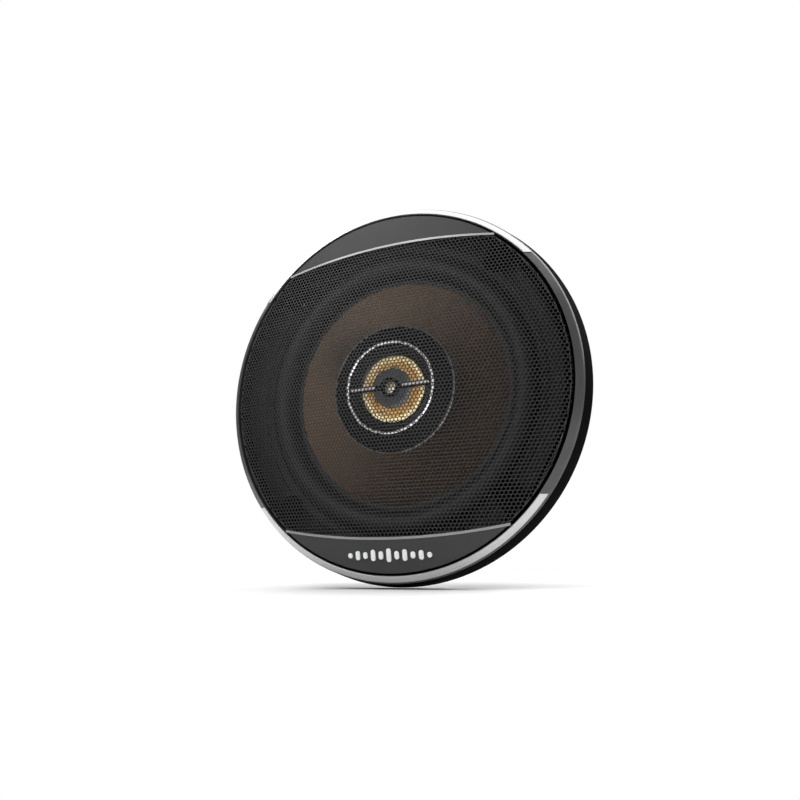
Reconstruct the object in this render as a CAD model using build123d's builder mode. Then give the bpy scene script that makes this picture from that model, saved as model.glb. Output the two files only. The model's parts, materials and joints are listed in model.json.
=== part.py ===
"""Three-way coaxial car speaker, 16 cm class, with its clip-on grille.

Frame: origin at the centre of the mounting face, +Z up, +Y towards the rear of the speaker,
so the grille faces -Y.  Turned outlines are drawn as (radius, y) points and revolved about Y.
Lengths are in millimetres.
"""

from build123d import *
from math import atan2, cos, pi, sin, sqrt
import os

os.makedirs("parts", exist_ok=True)

# ---- Driving dimensions -------------------------------------------------------------------
# Grille
grille_radius = 93.0          # widest point of the grille wall
grille_shelf_y = -10.0        # shelf that carries the trim ring, the mesh and the panels
ring_inner_radius = 87.2      # front edge of the trim ring
ring_inner_y = -12.9
ring_outer_radius = 90.3
ring_outer_y = -10.95
trim_start_angle = 38.5       # the bright trims run from here to the mirrored angle
trim_skin = 0.35
mesh_radius = 85.7
mesh_apex_y = -19.2
mesh_rim_y = -12.6
mesh_sheet = 0.8
panel_radius = 86.2
panel_proud = 0.4             # how far the panels stand ahead of the mesh
panel_depth = 2.9
arc_height = 70.3             # height of the panel arcs above the axis at the middle
arc_radius = 337.0            # radius of curvature of the panel arcs
strip_width = 1.1

# Mounting
bolt_circle_radius = 77.5
bolt_hole_radius = 2.4
bolt_count = 4
gasket_sheet = 0.8
flange_radius = 82.5
flange_sheet = 1.2
spigot_radius = 62.5          # passes through a 127 mm cut-out
mounting_ring_front = -4.6

# Basket and motor
basket_sheet = 1.0
shelf_y = 17.0                # front face of the spider shelf
basket_back = 25.0            # rear face of the basket, front face of the top plate
plate_thickness = 4.0
magnet_thickness = 12.0
magnet_radius = 40.0
plate_radius = 38.0
pole_radius = 12.0
gap_radius = 13.9
window_count = 6

# Moving assembly of the woofer
former_inner = 12.5
former_outer = 12.8
winding_outer = 13.4
winding_length = 9.0
cone_radius = 55.6
cone_lip_radius = 58.2
cone_edge_y = 0.7
cone_neck_y = 15.0
cone_paper = 0.6
roll_outer = 70.0

# Pod with the midrange and the tweeter
post_radius = 5.0
spacer_radius = 8.0
pod_back = 5.0
pod_crest_y = -11.5
pod_bore = 21.4
pod_rim_radius = 31.1
mid_cone_radius = 16.5
mid_cone_edge_y = -6.4
tweeter_radius = 9.6
tweeter_front_y = -10.0

# ---- Derived sizes --------------------------------------------------------------------------
flange_back = -gasket_sheet
flange_front = flange_back - flange_sheet
magnet_front = basket_back + plate_thickness
magnet_back = magnet_front + magnet_thickness
motor_back = magnet_back + plate_thickness
arc_centre = arc_radius - arc_height
dome_rise = mesh_rim_y - mesh_apex_y
dome_radius = (mesh_radius**2 + dome_rise**2) / (2 * dome_rise)
dome_reach = ring_inner_radius
dome_reach_y = mesh_apex_y + dome_radius - sqrt(dome_radius**2 - dome_reach**2)


def across(y):
    """Plane square to the speaker's axis at depth y, facing forwards, with Z up."""
    return Plane.XZ.offset(-y)


def turned(*points):
    """Straight-sided section of (radius, y) points, ready to be revolved."""
    with BuildSketch(Plane.XY) as outline:
        with BuildLine():
            Polyline(*points, close=True)
        make_face()
    return outline.sketch


def dome_section(proud, depth):
    """Section of a shell that follows the mesh dome, its front a distance ahead of it."""
    with BuildSketch(Plane.XY) as outline:
        with BuildLine():
            front = TangentArc(
                (0, mesh_apex_y - proud), (dome_reach, dome_reach_y - proud), tangent=(1, 0)
            )
            back = TangentArc(
                (0, mesh_apex_y - proud + depth),
                (dome_reach, dome_reach_y - proud + depth),
                tangent=(1, 0),
            )
            Line(front @ 0, back @ 0)
            Line(front @ 1, back @ 1)
        make_face()
    return outline.sketch


def lens_plan(side, inset):
    """Region between the rim and the arc above (side 1) or below (side -1) the axis."""
    with BuildSketch(across(0)) as plan:
        Circle(panel_radius)
        with Locations((0, -side * arc_centre)):
            Circle(arc_radius + inset, mode=Mode.SUBTRACT)
    return plan.sketch


def strip_plan(side):
    """Narrow band along one panel arc."""
    with BuildSketch(across(0)) as plan:
        Circle(panel_radius)
        with Locations((0, -side * arc_centre)):
            Circle(arc_radius, mode=Mode.SUBTRACT)
            Circle(arc_radius + strip_width, mode=Mode.INTERSECT)
    return plan.sketch


def mesh_plan(radius):
    """Circle with the two lens regions taken off."""
    with BuildSketch(across(0)) as plan:
        Circle(radius)
        for side in (1, -1):
            with Locations((0, side * arc_centre)):
                Circle(arc_radius, mode=Mode.INTERSECT)
    return plan.sketch


# ---- Grille ---------------------------------------------------------------------------------
# Moulded frame: flared side wall, front shelf, the ribs that grip the mounting ring,
# and four tongues that cover the screw heads
wall_top_radius = 90.9
wall_foot_radius = 90.6
rib_radius = 89.6
screw_cover_radius = 79.5

with BuildPart() as grille_frame:
    revolve(
        profiles=turned(
            (grille_radius - 0.6, 0),
            (grille_radius, -1.2),
            (wall_top_radius, grille_shelf_y),
            (82.5, grille_shelf_y),
            (82.5, grille_shelf_y + 1.4),
            (88.9, grille_shelf_y + 1.4),
            (wall_foot_radius, 0),
        ),
        axis=Axis.Y,
    )
    with BuildSketch(across(-0.6)):
        with PolarLocations(rib_radius, 12):
            Rectangle(2.6, 3.0)
    extrude(amount=8.4)
    with BuildSketch(across(grille_shelf_y + 1.4)):
        with PolarLocations(screw_cover_radius, bolt_count, start_angle=45):
            SlotOverall(16.0, 12.0)
    extrude(amount=1.4)
grille_frame.part.label = "grille_frame"
export_step(grille_frame.part, "parts/grille_frame.step")

# Satin ring that closes the front of the frame, with a bevelled outer edge
with BuildPart() as trim_ring:
    revolve(
        profiles=turned(
            (ring_inner_radius, grille_shelf_y),
            (ring_inner_radius, ring_inner_y),
            (ring_outer_radius, ring_outer_y),
            (wall_top_radius, grille_shelf_y - 0.1),
            (wall_top_radius, grille_shelf_y),
        ),
        axis=Axis.Y,
    )
trim_ring.part.label = "trim_ring"
export_step(trim_ring.part, "parts/trim_ring.step")

# Bright trims: thin skins on the sloping face of the ring, above and below
face_angle = atan2(ring_outer_y - ring_inner_y, ring_outer_radius - ring_inner_radius)
face_length = (ring_outer_radius - ring_inner_radius) / cos(face_angle)
trim_margin = 0.25
trim_width = face_length - 2 * trim_margin
trim_sweep = 180 - 2 * trim_start_angle


def face_point(along, above):
    """Point on the ring's sloping face: a distance along it, and a distance above it."""
    return (
        ring_inner_radius + along * cos(face_angle) + above * sin(face_angle),
        ring_inner_y + along * sin(face_angle) - above * cos(face_angle),
    )


with BuildPart() as trim_top:
    with BuildSketch(Plane.XY.rotated((0, trim_start_angle - 180, 0))):
        with BuildLine():
            Polyline(
                face_point(trim_margin, 0),
                face_point(trim_margin + trim_width, 0),
                face_point(trim_margin + trim_width - trim_skin, trim_skin),
                face_point(trim_margin + trim_skin, trim_skin),
                close=True,
            )
        make_face()
    revolve(axis=Axis.Y, revolution_arc=trim_sweep)
trim_top.part.label = "trim_top"
export_step(trim_top.part, "parts/trim_top.step")

with BuildPart() as trim_bottom:
    add(trim_top.part.mirror(Plane.XY))
trim_bottom.part.label = "trim_bottom"
export_step(trim_bottom.part, "parts/trim_bottom.step")

# Lens-shaped panels between the mesh and the ring
with BuildPart() as panel_top:
    revolve(profiles=dome_section(panel_proud, panel_depth), axis=Axis.Y)
    extrude(lens_plan(1, strip_width), amount=30, mode=Mode.INTERSECT)
panel_top.part.label = "panel_top"
export_step(panel_top.part, "parts/panel_top.step")

with BuildPart() as panel_bottom:
    revolve(profiles=dome_section(panel_proud, panel_depth), axis=Axis.Y)
    extrude(lens_plan(-1, strip_width), amount=30, mode=Mode.INTERSECT)
panel_bottom.part.label = "panel_bottom"
export_step(panel_bottom.part, "parts/panel_bottom.step")

# Bright strips along the panel arcs
strip_proud = 0.6

with BuildPart() as edge_strip_top:
    revolve(profiles=dome_section(strip_proud, panel_depth), axis=Axis.Y)
    extrude(strip_plan(1), amount=30, mode=Mode.INTERSECT)
edge_strip_top.part.label = "edge_strip_top"
export_step(edge_strip_top.part, "parts/edge_strip_top.step")

with BuildPart() as edge_strip_bottom:
    revolve(profiles=dome_section(strip_proud, panel_depth), axis=Axis.Y)
    extrude(strip_plan(-1), amount=30, mode=Mode.INTERSECT)
edge_strip_bottom.part.label = "edge_strip_bottom"
export_step(edge_strip_bottom.part, "parts/edge_strip_bottom.step")

# Plain ornament on the lower panel: upright bars whose heights rise and fall
bar_count = 11
bar_pitch = 3.9
bar_width = 2.2
bar_height = 6.0
bar_row_z = -78.2
bar_raise = 0.6

with BuildPart() as badge_bars:
    revolve(profiles=dome_section(panel_proud + bar_raise, bar_raise), axis=Axis.Y)
    with BuildSketch(across(0)):
        for index in range(bar_count):
            steps_out = index - (bar_count - 1) // 2
            share = (1 - 0.08 * abs(steps_out)) * (1 if steps_out % 2 == 0 else 0.66)
            with Locations((steps_out * bar_pitch, bar_row_z)):
                SlotOverall(bar_height * share, bar_width, rotation=90)
    extrude(amount=30, mode=Mode.INTERSECT)
badge_bars.part.label = "badge_bars"
export_step(badge_bars.part, "parts/badge_bars.step")

# Perforated steel mesh, as a plain domed sheet
with BuildPart() as grille_mesh:
    revolve(profiles=dome_section(0, mesh_sheet), axis=Axis.Y)
    extrude(mesh_plan(mesh_radius), amount=30, mode=Mode.INTERSECT)
grille_mesh.part.label = "grille_mesh"
export_step(grille_mesh.part, "parts/grille_mesh.step")

# Ring under the rim of the mesh
with BuildPart() as mesh_retainer:
    with BuildSketch(across(grille_shelf_y)):
        add(mesh_plan(mesh_radius - 0.1))
        Circle(mesh_radius - 2.1, mode=Mode.SUBTRACT)
    extrude(amount=grille_shelf_y - mesh_rim_y - mesh_sheet)
mesh_retainer.part.label = "mesh_retainer"
export_step(mesh_retainer.part, "parts/mesh_retainer.step")

# ---- Mounting -------------------------------------------------------------------------------
# Plastic ring that is screwed down over the basket flange and carries the grille
with BuildPart() as mounting_ring:
    revolve(
        profiles=turned(
            (75.2, flange_front),
            (75.2, mounting_ring_front),
            (88.1, mounting_ring_front),
            (88.1, 0),
            (flange_radius + 0.5, 0),
            (flange_radius + 0.5, flange_front),
        ),
        axis=Axis.Y,
    )
    with BuildSketch(across(0)):
        with PolarLocations(bolt_circle_radius, bolt_count, start_angle=45):
            Circle(bolt_hole_radius)
    extrude(amount=10, mode=Mode.SUBTRACT)
mounting_ring.part.label = "mounting_ring"
export_step(mounting_ring.part, "parts/mounting_ring.step")

# Foam ring between the flange and the panel
with BuildPart() as rear_gasket:
    with BuildSketch(across(0)):
        Circle(flange_radius - 1.5)
        Circle(spigot_radius + 3.0, mode=Mode.SUBTRACT)
        with PolarLocations(bolt_circle_radius, bolt_count, start_angle=45):
            Circle(bolt_hole_radius + 0.8, mode=Mode.SUBTRACT)
    extrude(amount=gasket_sheet)
rear_gasket.part.label = "rear_gasket"
export_step(rear_gasket.part, "parts/rear_gasket.step")

# ---- Basket ---------------------------------------------------------------------------------
# Pressed steel chassis: flange, cylindrical spigot, windowed cone, spider shelf and motor seat
with BuildPart() as basket:
    revolve(
        profiles=turned(
            (flange_radius, flange_front),
            (flange_radius, flange_back),
            (spigot_radius, flange_back),
            (spigot_radius, 5.0),
            (46.0, shelf_y + basket_sheet),
            (37.5, shelf_y + basket_sheet),
            (35.0, basket_back),
            (16.0, basket_back),
            (16.0, basket_back - basket_sheet),
            (34.2, basket_back - basket_sheet),
            (36.7, shelf_y),
            (45.6, shelf_y),
            (spigot_radius - basket_sheet, 4.5),
            (spigot_radius - basket_sheet, flange_front),
        ),
        axis=Axis.Y,
    )
    with BuildSketch(across(0)):
        with PolarLocations(bolt_circle_radius, bolt_count, start_angle=45):
            Circle(bolt_hole_radius)
    extrude(amount=5, mode=Mode.SUBTRACT)
    with BuildSketch(across(shelf_y + 2)):
        for index in range(window_count):
            with BuildLine(mode=Mode.PRIVATE) as window_line:
                CenterArc((0, 0), 53.5, index * 360 / window_count - 19, 38)
            SlotArc(window_line.edge(), height=9.0)
    extrude(amount=13, mode=Mode.SUBTRACT)
    with BuildSketch(across(basket_back)):
        with PolarLocations(25.0, 4, start_angle=45):
            Circle(2.0)
    extrude(amount=basket_sheet, mode=Mode.SUBTRACT)
basket.part.label = "basket"
export_step(basket.part, "parts/basket.step")

# ---- Motor ----------------------------------------------------------------------------------
with BuildPart() as top_plate:
    with BuildSketch(across(magnet_front)):
        Circle(plate_radius)
        Circle(gap_radius, mode=Mode.SUBTRACT)
    extrude(amount=plate_thickness)
    with BuildSketch(across(basket_back + 2)):
        with PolarLocations(25.0, 4, start_angle=45):
            Circle(2.0)
    extrude(amount=2, mode=Mode.SUBTRACT)
top_plate.part.label = "top_plate"
export_step(top_plate.part, "parts/top_plate.step")

with BuildPart() as motor_rivets:
    with BuildSketch(across(basket_back + 2)):
        with PolarLocations(25.0, 4, start_angle=45):
            Circle(2.0)
    extrude(amount=2 + basket_sheet)
    with BuildSketch(across(basket_back - basket_sheet)):
        with PolarLocations(25.0, 4, start_angle=45):
            Circle(3.2)
    extrude(amount=0.8)
motor_rivets.part.label = "motor_rivets"
export_step(motor_rivets.part, "parts/motor_rivets.step")

with BuildPart() as ferrite_magnet:
    with BuildSketch(across(magnet_back)):
        Circle(magnet_radius)
        Circle(17.0, mode=Mode.SUBTRACT)
    extrude(amount=magnet_thickness)
    chamfer(ferrite_magnet.edges().filter_by(GeomType.CIRCLE).group_by(SortBy.RADIUS)[-1], 0.8)
ferrite_magnet.part.label = "ferrite_magnet"
export_step(ferrite_magnet.part, "parts/ferrite_magnet.step")

# Back plate and pole in one, bored for the pod's post, with a recess for its nut
with BuildPart() as pole_yoke:
    revolve(
        profiles=turned(
            (post_radius, basket_back),
            (pole_radius - 0.6, basket_back),
            (pole_radius, basket_back + 0.6),
            (pole_radius, magnet_back),
            (plate_radius, magnet_back),
            (plate_radius, motor_back - 0.8),
            (plate_radius - 0.8, motor_back),
            (8.6, motor_back),
            (8.6, magnet_back),
            (post_radius, magnet_back),
        ),
        axis=Axis.Y,
    )
pole_yoke.part.label = "pole_yoke"
export_step(pole_yoke.part, "parts/pole_yoke.step")

# ---- Woofer moving assembly -----------------------------------------------------------------
with BuildPart() as woofer_cone:
    with BuildSketch(Plane.XY):
        with BuildLine():
            front = ThreePointArc(
                (cone_radius, cone_edge_y), (32.0, 9.7), (former_outer, cone_neck_y)
            )
            back = ThreePointArc(
                (former_outer, cone_neck_y + cone_paper),
                (32.0, 9.7 + cone_paper),
                (cone_radius, cone_edge_y + cone_paper),
            )
            Line(front @ 1, back @ 0)
            Polyline(
                back @ 1,
                (cone_lip_radius, cone_edge_y + cone_paper),
                (cone_lip_radius, cone_edge_y),
                front @ 0,
            )
        make_face()
    revolve(axis=Axis.Y)
woofer_cone.part.label = "woofer_cone"
export_step(woofer_cone.part, "parts/woofer_cone.step")

# Small pad on the cone over the lead joints
with BuildPart() as lead_patch:
    with BuildSketch(Plane.XY):
        with BuildLine():
            front = ThreePointArc(
                (cone_radius, cone_edge_y - 1.2), (32.0, 8.5), (former_outer, cone_neck_y - 1.2)
            )
            back = ThreePointArc(
                (former_outer, cone_neck_y), (32.0, 9.7), (cone_radius, cone_edge_y)
            )
            Line(front @ 1, back @ 0)
            Line(back @ 1, front @ 0)
        make_face()
    revolve(axis=Axis.Y)
    with BuildSketch(across(20)):
        with Locations((-35.3, 8.0)):
            SlotOverall(10.0, 3.2, rotation=80)
    extrude(amount=30, mode=Mode.INTERSECT)
lead_patch.part.label = "lead_patch"
export_step(lead_patch.part, "parts/lead_patch.step")

winding_back = basket_back + (plate_thickness + winding_length) / 2

with BuildPart() as coil_former:
    with BuildSketch(across(winding_back)):
        Circle(former_outer)
        Circle(former_inner, mode=Mode.SUBTRACT)
    extrude(amount=winding_back - cone_neck_y + 0.6)
coil_former.part.label = "coil_former"
export_step(coil_former.part, "parts/coil_former.step")

with BuildPart() as coil_winding:
    with BuildSketch(across(winding_back)):
        Circle(winding_outer)
        Circle(former_outer, mode=Mode.SUBTRACT)
    extrude(amount=winding_length)
coil_winding.part.label = "coil_winding"
export_step(coil_winding.part, "parts/coil_winding.step")

# Felt ring that keeps dust out of the gap around the post
with BuildPart() as dust_ring:
    with BuildSketch(across(cone_neck_y)):
        Circle(former_inner)
        Circle(spacer_radius + 0.5, mode=Mode.SUBTRACT)
    extrude(amount=0.6)
dust_ring.part.label = "dust_ring"
export_step(dust_ring.part, "parts/dust_ring.step")

# Rubber half-roll between the cone lip and the flange
roll_sheet = 0.6
roll_crest_radius = 64.0
roll_crest_y = -7.0
landing_radius = 75.0

with BuildPart() as surround:
    with BuildSketch(Plane.XY):
        with BuildLine():
            front = ThreePointArc(
                (cone_lip_radius + 0.2, cone_edge_y - roll_sheet),
                (roll_crest_radius, roll_crest_y),
                (roll_outer, flange_front - roll_sheet),
            )
            back = ThreePointArc(
                (roll_outer - 0.7, flange_front),
                (roll_crest_radius, roll_crest_y + 0.7),
                (cone_lip_radius + 0.9, cone_edge_y),
            )
            Polyline(
                front @ 1,
                (landing_radius, flange_front - roll_sheet),
                (landing_radius, flange_front),
                back @ 0,
            )
            Polyline(
                back @ 1,
                (cone_radius + 0.2, cone_edge_y),
                (cone_radius + 0.2, cone_edge_y - roll_sheet),
                front @ 0,
            )
        make_face()
    revolve(axis=Axis.Y)
surround.part.label = "surround"
export_step(surround.part, "parts/surround.step")

# Ring that clamps the outer edge of the surround
with BuildPart() as front_gasket:
    with BuildSketch(across(flange_front - roll_sheet)):
        Circle(landing_radius)
        Circle(roll_outer + 1.0, mode=Mode.SUBTRACT)
    extrude(amount=1.4)
    fillet(front_gasket.edges().filter_by(GeomType.CIRCLE).group_by(Axis.Y)[0], 0.5)
front_gasket.part.label = "front_gasket"
export_step(front_gasket.part, "parts/front_gasket.step")

# Corrugated spider between the former and its shelf
spider_sheet = 0.5
spider_y = shelf_y - spider_sheet
wave_start = 15.5
wave_pitch = 5.2
wave_count = 4
wave_height = 1.1
wave_points = [
    (wave_start + step * wave_pitch / 4, spider_y + wave_height * sin(step * pi / 2))
    for step in range(4 * wave_count + 1)
]

with BuildPart() as spider:
    with BuildSketch(Plane.XY):
        with BuildLine():
            front = Spline(*wave_points)
            back = Spline(*[(radius, y + spider_sheet) for radius, y in wave_points])
            Polyline(
                front @ 1,
                (44.5, spider_y),
                (44.5, shelf_y),
                back @ 1,
            )
            Polyline(
                front @ 0,
                (former_outer, spider_y),
                (former_outer, shelf_y),
                back @ 0,
            )
        make_face()
    revolve(axis=Axis.Y)
spider.part.label = "spider"
export_step(spider.part, "parts/spider.step")

# Braided leads from the terminal board, through the windows, to the back of the cone
lead_radius = 0.5

with BuildPart() as tinsel_leads:
    with BuildLine() as lead_path:
        Spline(
            (-9.0, 16.0, -55.4),
            (-9.5, 12.0, -52.5),
            (-9.0, 12.4, -44.0),
            (-8.0, 11.3, -33.0),
        )
    with BuildSketch(Plane(origin=lead_path.line @ 0, z_dir=lead_path.line % 0)):
        Circle(lead_radius)
    sweep(path=lead_path.line)
    mirror(about=Plane.YZ)
tinsel_leads.part.label = "tinsel_leads"
export_step(tinsel_leads.part, "parts/tinsel_leads.step")

# ---- Pod: post, housing and rings -----------------------------------------------------------
post_head_front = pod_back - 3.1
pod_floor = pod_back - 1.5

with BuildPart() as pod_post:
    with BuildSketch(across(motor_back - 0.5)):
        Circle(post_radius)
    extrude(amount=motor_back - 0.5 - pod_floor)
    with BuildSketch(across(pod_floor)):
        Circle(8.0)
    extrude(amount=pod_floor - post_head_front)
    chamfer(pod_post.edges().filter_by(GeomType.CIRCLE).sort_by(Axis.Y)[-1], 0.6)
pod_post.part.label = "pod_post"
export_step(pod_post.part, "parts/pod_post.step")

with BuildPart() as post_spacer:
    with BuildSketch(across(basket_back)):
        Circle(spacer_radius)
        Circle(post_radius, mode=Mode.SUBTRACT)
    extrude(amount=basket_back - pod_back)
post_spacer.part.label = "post_spacer"
export_step(post_spacer.part, "parts/post_spacer.step")

with BuildPart() as post_washer:
    with BuildSketch(across(magnet_back + 0.8)):
        Circle(8.2)
        Circle(post_radius, mode=Mode.SUBTRACT)
    extrude(amount=0.8)
post_washer.part.label = "post_washer"
export_step(post_washer.part, "parts/post_washer.step")

with BuildPart() as post_nut:
    with BuildSketch(across(motor_back - 0.8)):
        RegularPolygon(7.0, 6, major_radius=False)
        Circle(post_radius, mode=Mode.SUBTRACT)
    extrude(amount=motor_back - magnet_back - 1.6)
post_nut.part.label = "post_nut"
export_step(post_nut.part, "parts/post_nut.step")

with BuildPart() as pod_housing:
    revolve(
        profiles=turned(
            (pod_bore, pod_crest_y),
            (pod_bore + 1.5, pod_crest_y),
            (pod_rim_radius, -7.6),
            (pod_rim_radius, -6.6),
            (23.0, -10.3),
            (23.0, -4.0),
            (21.0, 0.8),
            (15.0, pod_back),
            (post_radius, pod_back),
            (post_radius, pod_floor),
            (14.4, pod_floor),
            (19.4, 0.0),
            (19.4, -5.4),
            (pod_bore, -5.4),
        ),
        axis=Axis.Y,
    )
pod_housing.part.label = "pod_housing"
export_step(pod_housing.part, "parts/pod_housing.step")

with BuildPart() as pod_ring_inner:
    with BuildSketch(Plane.XY):
        with BuildLine():
            Line((pod_bore + 0.3, pod_crest_y), (pod_bore + 1.5, pod_crest_y))
            ThreePointArc(
                (pod_bore + 1.5, pod_crest_y),
                (pod_bore + 0.9, pod_crest_y - 0.6),
                (pod_bore + 0.3, pod_crest_y),
            )
        make_face()
    revolve(axis=Axis.Y)
pod_ring_inner.part.label = "pod_ring_inner"
export_step(pod_ring_inner.part, "parts/pod_ring_inner.step")

with BuildPart() as pod_ring_outer:
    revolve(
        profiles=turned(
            (pod_rim_radius, -6.6),
            (pod_rim_radius, -7.9),
            (pod_rim_radius + 0.3, -7.9),
            (pod_rim_radius + 0.5, -7.6),
            (pod_rim_radius + 0.5, -6.6),
        ),
        axis=Axis.Y,
    )
pod_ring_outer.part.label = "pod_ring_outer"
export_step(pod_ring_outer.part, "parts/pod_ring_outer.step")

# ---- Midrange -------------------------------------------------------------------------------
mid_plate_radius = 12.0
mid_plate_front = -2.2
mid_former_outer = 5.1

with BuildPart() as mid_frame:
    revolve(
        profiles=turned(
            (pod_bore, mid_cone_edge_y),
            (pod_bore, -5.4),
            (19.4, -5.4),
            (14.0, -1.2),
            (mid_plate_radius, -1.2),
            (mid_plate_radius, -2.8),
            (13.2, -2.8),
            (18.6, mid_cone_edge_y),
        ),
        axis=Axis.Y,
    )
mid_frame.part.label = "mid_frame"
export_step(mid_frame.part, "parts/mid_frame.step")

with BuildPart() as mid_cone:
    with BuildSketch(Plane.XY):
        with BuildLine():
            front = ThreePointArc(
                (mid_cone_radius, mid_cone_edge_y - 0.3), (10.5, -4.9), (mid_former_outer, -3.6)
            )
            back = ThreePointArc(
                (mid_former_outer, -3.3), (10.5, -4.6), (mid_cone_radius, mid_cone_edge_y)
            )
            Line(front @ 1, back @ 0)
            Line(back @ 1, front @ 0)
        make_face()
    revolve(axis=Axis.Y)
mid_cone.part.label = "mid_cone"
export_step(mid_cone.part, "parts/mid_cone.step")

with BuildPart() as mid_former:
    with BuildSketch(across(0.0)):
        Circle(mid_former_outer)
        Circle(mid_former_outer - 0.2, mode=Mode.SUBTRACT)
    extrude(amount=3.8)
mid_former.part.label = "mid_former"
export_step(mid_former.part, "parts/mid_former.step")

with BuildPart() as mid_winding:
    with BuildSketch(across(-0.1)):
        Circle(mid_former_outer + 0.4)
        Circle(mid_former_outer, mode=Mode.SUBTRACT)
    extrude(amount=2.4)
mid_winding.part.label = "mid_winding"
export_step(mid_winding.part, "parts/mid_winding.step")

with BuildPart() as mid_surround:
    with BuildSketch(Plane.XY):
        with BuildLine():
            front = ThreePointArc(
                (mid_cone_radius, mid_cone_edge_y - 0.3),
                (17.7, mid_cone_edge_y - 1.4),
                (18.9, mid_cone_edge_y - 0.3),
            )
            back = ThreePointArc(
                (18.6, mid_cone_edge_y), (17.7, mid_cone_edge_y - 1.1), (16.8, mid_cone_edge_y)
            )
            Polyline(
                front @ 1,
                (pod_bore, mid_cone_edge_y - 0.3),
                (pod_bore, mid_cone_edge_y),
                back @ 0,
            )
            Polyline(back @ 1, (mid_cone_radius, mid_cone_edge_y), front @ 0)
        make_face()
    revolve(axis=Axis.Y)
mid_surround.part.label = "mid_surround"
export_step(mid_surround.part, "parts/mid_surround.step")

with BuildPart() as mid_top_plate:
    with BuildSketch(across(-1.0)):
        Circle(mid_plate_radius)
        Circle(6.0, mode=Mode.SUBTRACT)
    extrude(amount=1.2)
mid_top_plate.part.label = "mid_top_plate"
export_step(mid_top_plate.part, "parts/mid_top_plate.step")

with BuildPart() as mid_magnet:
    with BuildSketch(across(0.7)):
        Circle(mid_plate_radius)
        Circle(7.5, mode=Mode.SUBTRACT)
    extrude(amount=1.7)
mid_magnet.part.label = "mid_magnet"
export_step(mid_magnet.part, "parts/mid_magnet.step")

with BuildPart() as mid_yoke:
    with BuildSketch(across(post_head_front)):
        Circle(mid_plate_radius)
    extrude(amount=post_head_front - 0.7)
    with BuildSketch(across(0.7)):
        Circle(4.5)
    extrude(amount=0.7 - mid_plate_front)
mid_yoke.part.label = "mid_yoke"
export_step(mid_yoke.part, "parts/mid_yoke.step")

# ---- Bridge bar and tweeter -----------------------------------------------------------------
bar_front_y = -11.6
aperture_radius = 3.3

with BuildPart() as bridge_bar:
    with BuildSketch(across(tweeter_front_y)):
        Rectangle(2 * pod_bore + 0.4, 2.6)
        Circle(pod_bore, mode=Mode.INTERSECT)
        Circle(aperture_radius + 1.3)
        Circle(aperture_radius, mode=Mode.SUBTRACT)
    extrude(amount=tweeter_front_y - bar_front_y)
bridge_bar.part.label = "bridge_bar"
export_step(bridge_bar.part, "parts/bridge_bar.step")

with BuildPart() as bar_inlays:
    with BuildSketch(across(bar_front_y)):
        with Locations((-13.8, 0), (13.8, 0)):
            SlotOverall(13.6, 1.2)
    extrude(amount=0.3)
bar_inlays.part.label = "bar_inlays"
export_step(bar_inlays.part, "parts/bar_inlays.step")

with BuildPart() as tweeter_housing:
    revolve(
        profiles=turned(
            (4.6, tweeter_front_y + 0.6),
            (5.2, tweeter_front_y),
            (tweeter_radius - 0.6, tweeter_front_y),
            (tweeter_radius, tweeter_front_y + 0.6),
            (tweeter_radius, -5.9),
            (0, -5.9),
            (0, -6.6),
            (8.4, -6.6),
            (8.4, tweeter_front_y + 0.9),
            (4.6, tweeter_front_y + 0.9),
        ),
        axis=Axis.Y,
    )
tweeter_housing.part.label = "tweeter_housing"
export_step(tweeter_housing.part, "parts/tweeter_housing.step")

dome_base_y = -9.2
tweeter_former_radius = 2.95

with BuildPart() as tweeter_dome:
    with BuildSketch(Plane.XY):
        with BuildLine():
            front = TangentArc((0, -10.4), (tweeter_former_radius, dome_base_y - 0.2), tangent=(1, 0))
            back = TangentArc((0, -10.2), (tweeter_former_radius, dome_base_y), tangent=(1, 0))
            Line(front @ 0, back @ 0)
            Line(front @ 1, back @ 1)
        make_face()
    revolve(axis=Axis.Y)
tweeter_dome.part.label = "tweeter_dome"
export_step(tweeter_dome.part, "parts/tweeter_dome.step")

with BuildPart() as tweeter_coil:
    with BuildSketch(across(-7.4)):
        Circle(tweeter_former_radius)
        Circle(tweeter_former_radius - 0.25, mode=Mode.SUBTRACT)
    extrude(amount=-7.4 - dome_base_y)
tweeter_coil.part.label = "tweeter_coil"
export_step(tweeter_coil.part, "parts/tweeter_coil.step")

with BuildPart() as tweeter_surround:
    with BuildSketch(across(-8.9)):
        Circle(8.4)
        Circle(tweeter_former_radius, mode=Mode.SUBTRACT)
    extrude(amount=0.2)
tweeter_surround.part.label = "tweeter_surround"
export_step(tweeter_surround.part, "parts/tweeter_surround.step")

with BuildPart() as tweeter_top_plate:
    with BuildSketch(across(-8.0)):
        Circle(8.4)
        Circle(3.4, mode=Mode.SUBTRACT)
    extrude(amount=0.9)
tweeter_top_plate.part.label = "tweeter_top_plate"
export_step(tweeter_top_plate.part, "parts/tweeter_top_plate.step")

with BuildPart() as tweeter_magnet:
    with BuildSketch(across(-7.0)):
        Circle(8.0)
        Circle(4.5, mode=Mode.SUBTRACT)
    extrude(amount=1.0)
tweeter_magnet.part.label = "tweeter_magnet"
export_step(tweeter_magnet.part, "parts/tweeter_magnet.step")

with BuildPart() as tweeter_yoke:
    with BuildSketch(across(-6.6)):
        Circle(8.4)
    extrude(amount=0.4)
    with BuildSketch(across(-7.0)):
        Circle(2.4)
    extrude(amount=1.6)
tweeter_yoke.part.label = "tweeter_yoke"
export_step(tweeter_yoke.part, "parts/tweeter_yoke.step")

# ---- Terminals and crossover ----------------------------------------------------------------
board_front_y = 13.0
board_back_y = 26.0
board_outer_z = -58.0
board_sheet = 2.0
foot_y = shelf_y + basket_sheet

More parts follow.
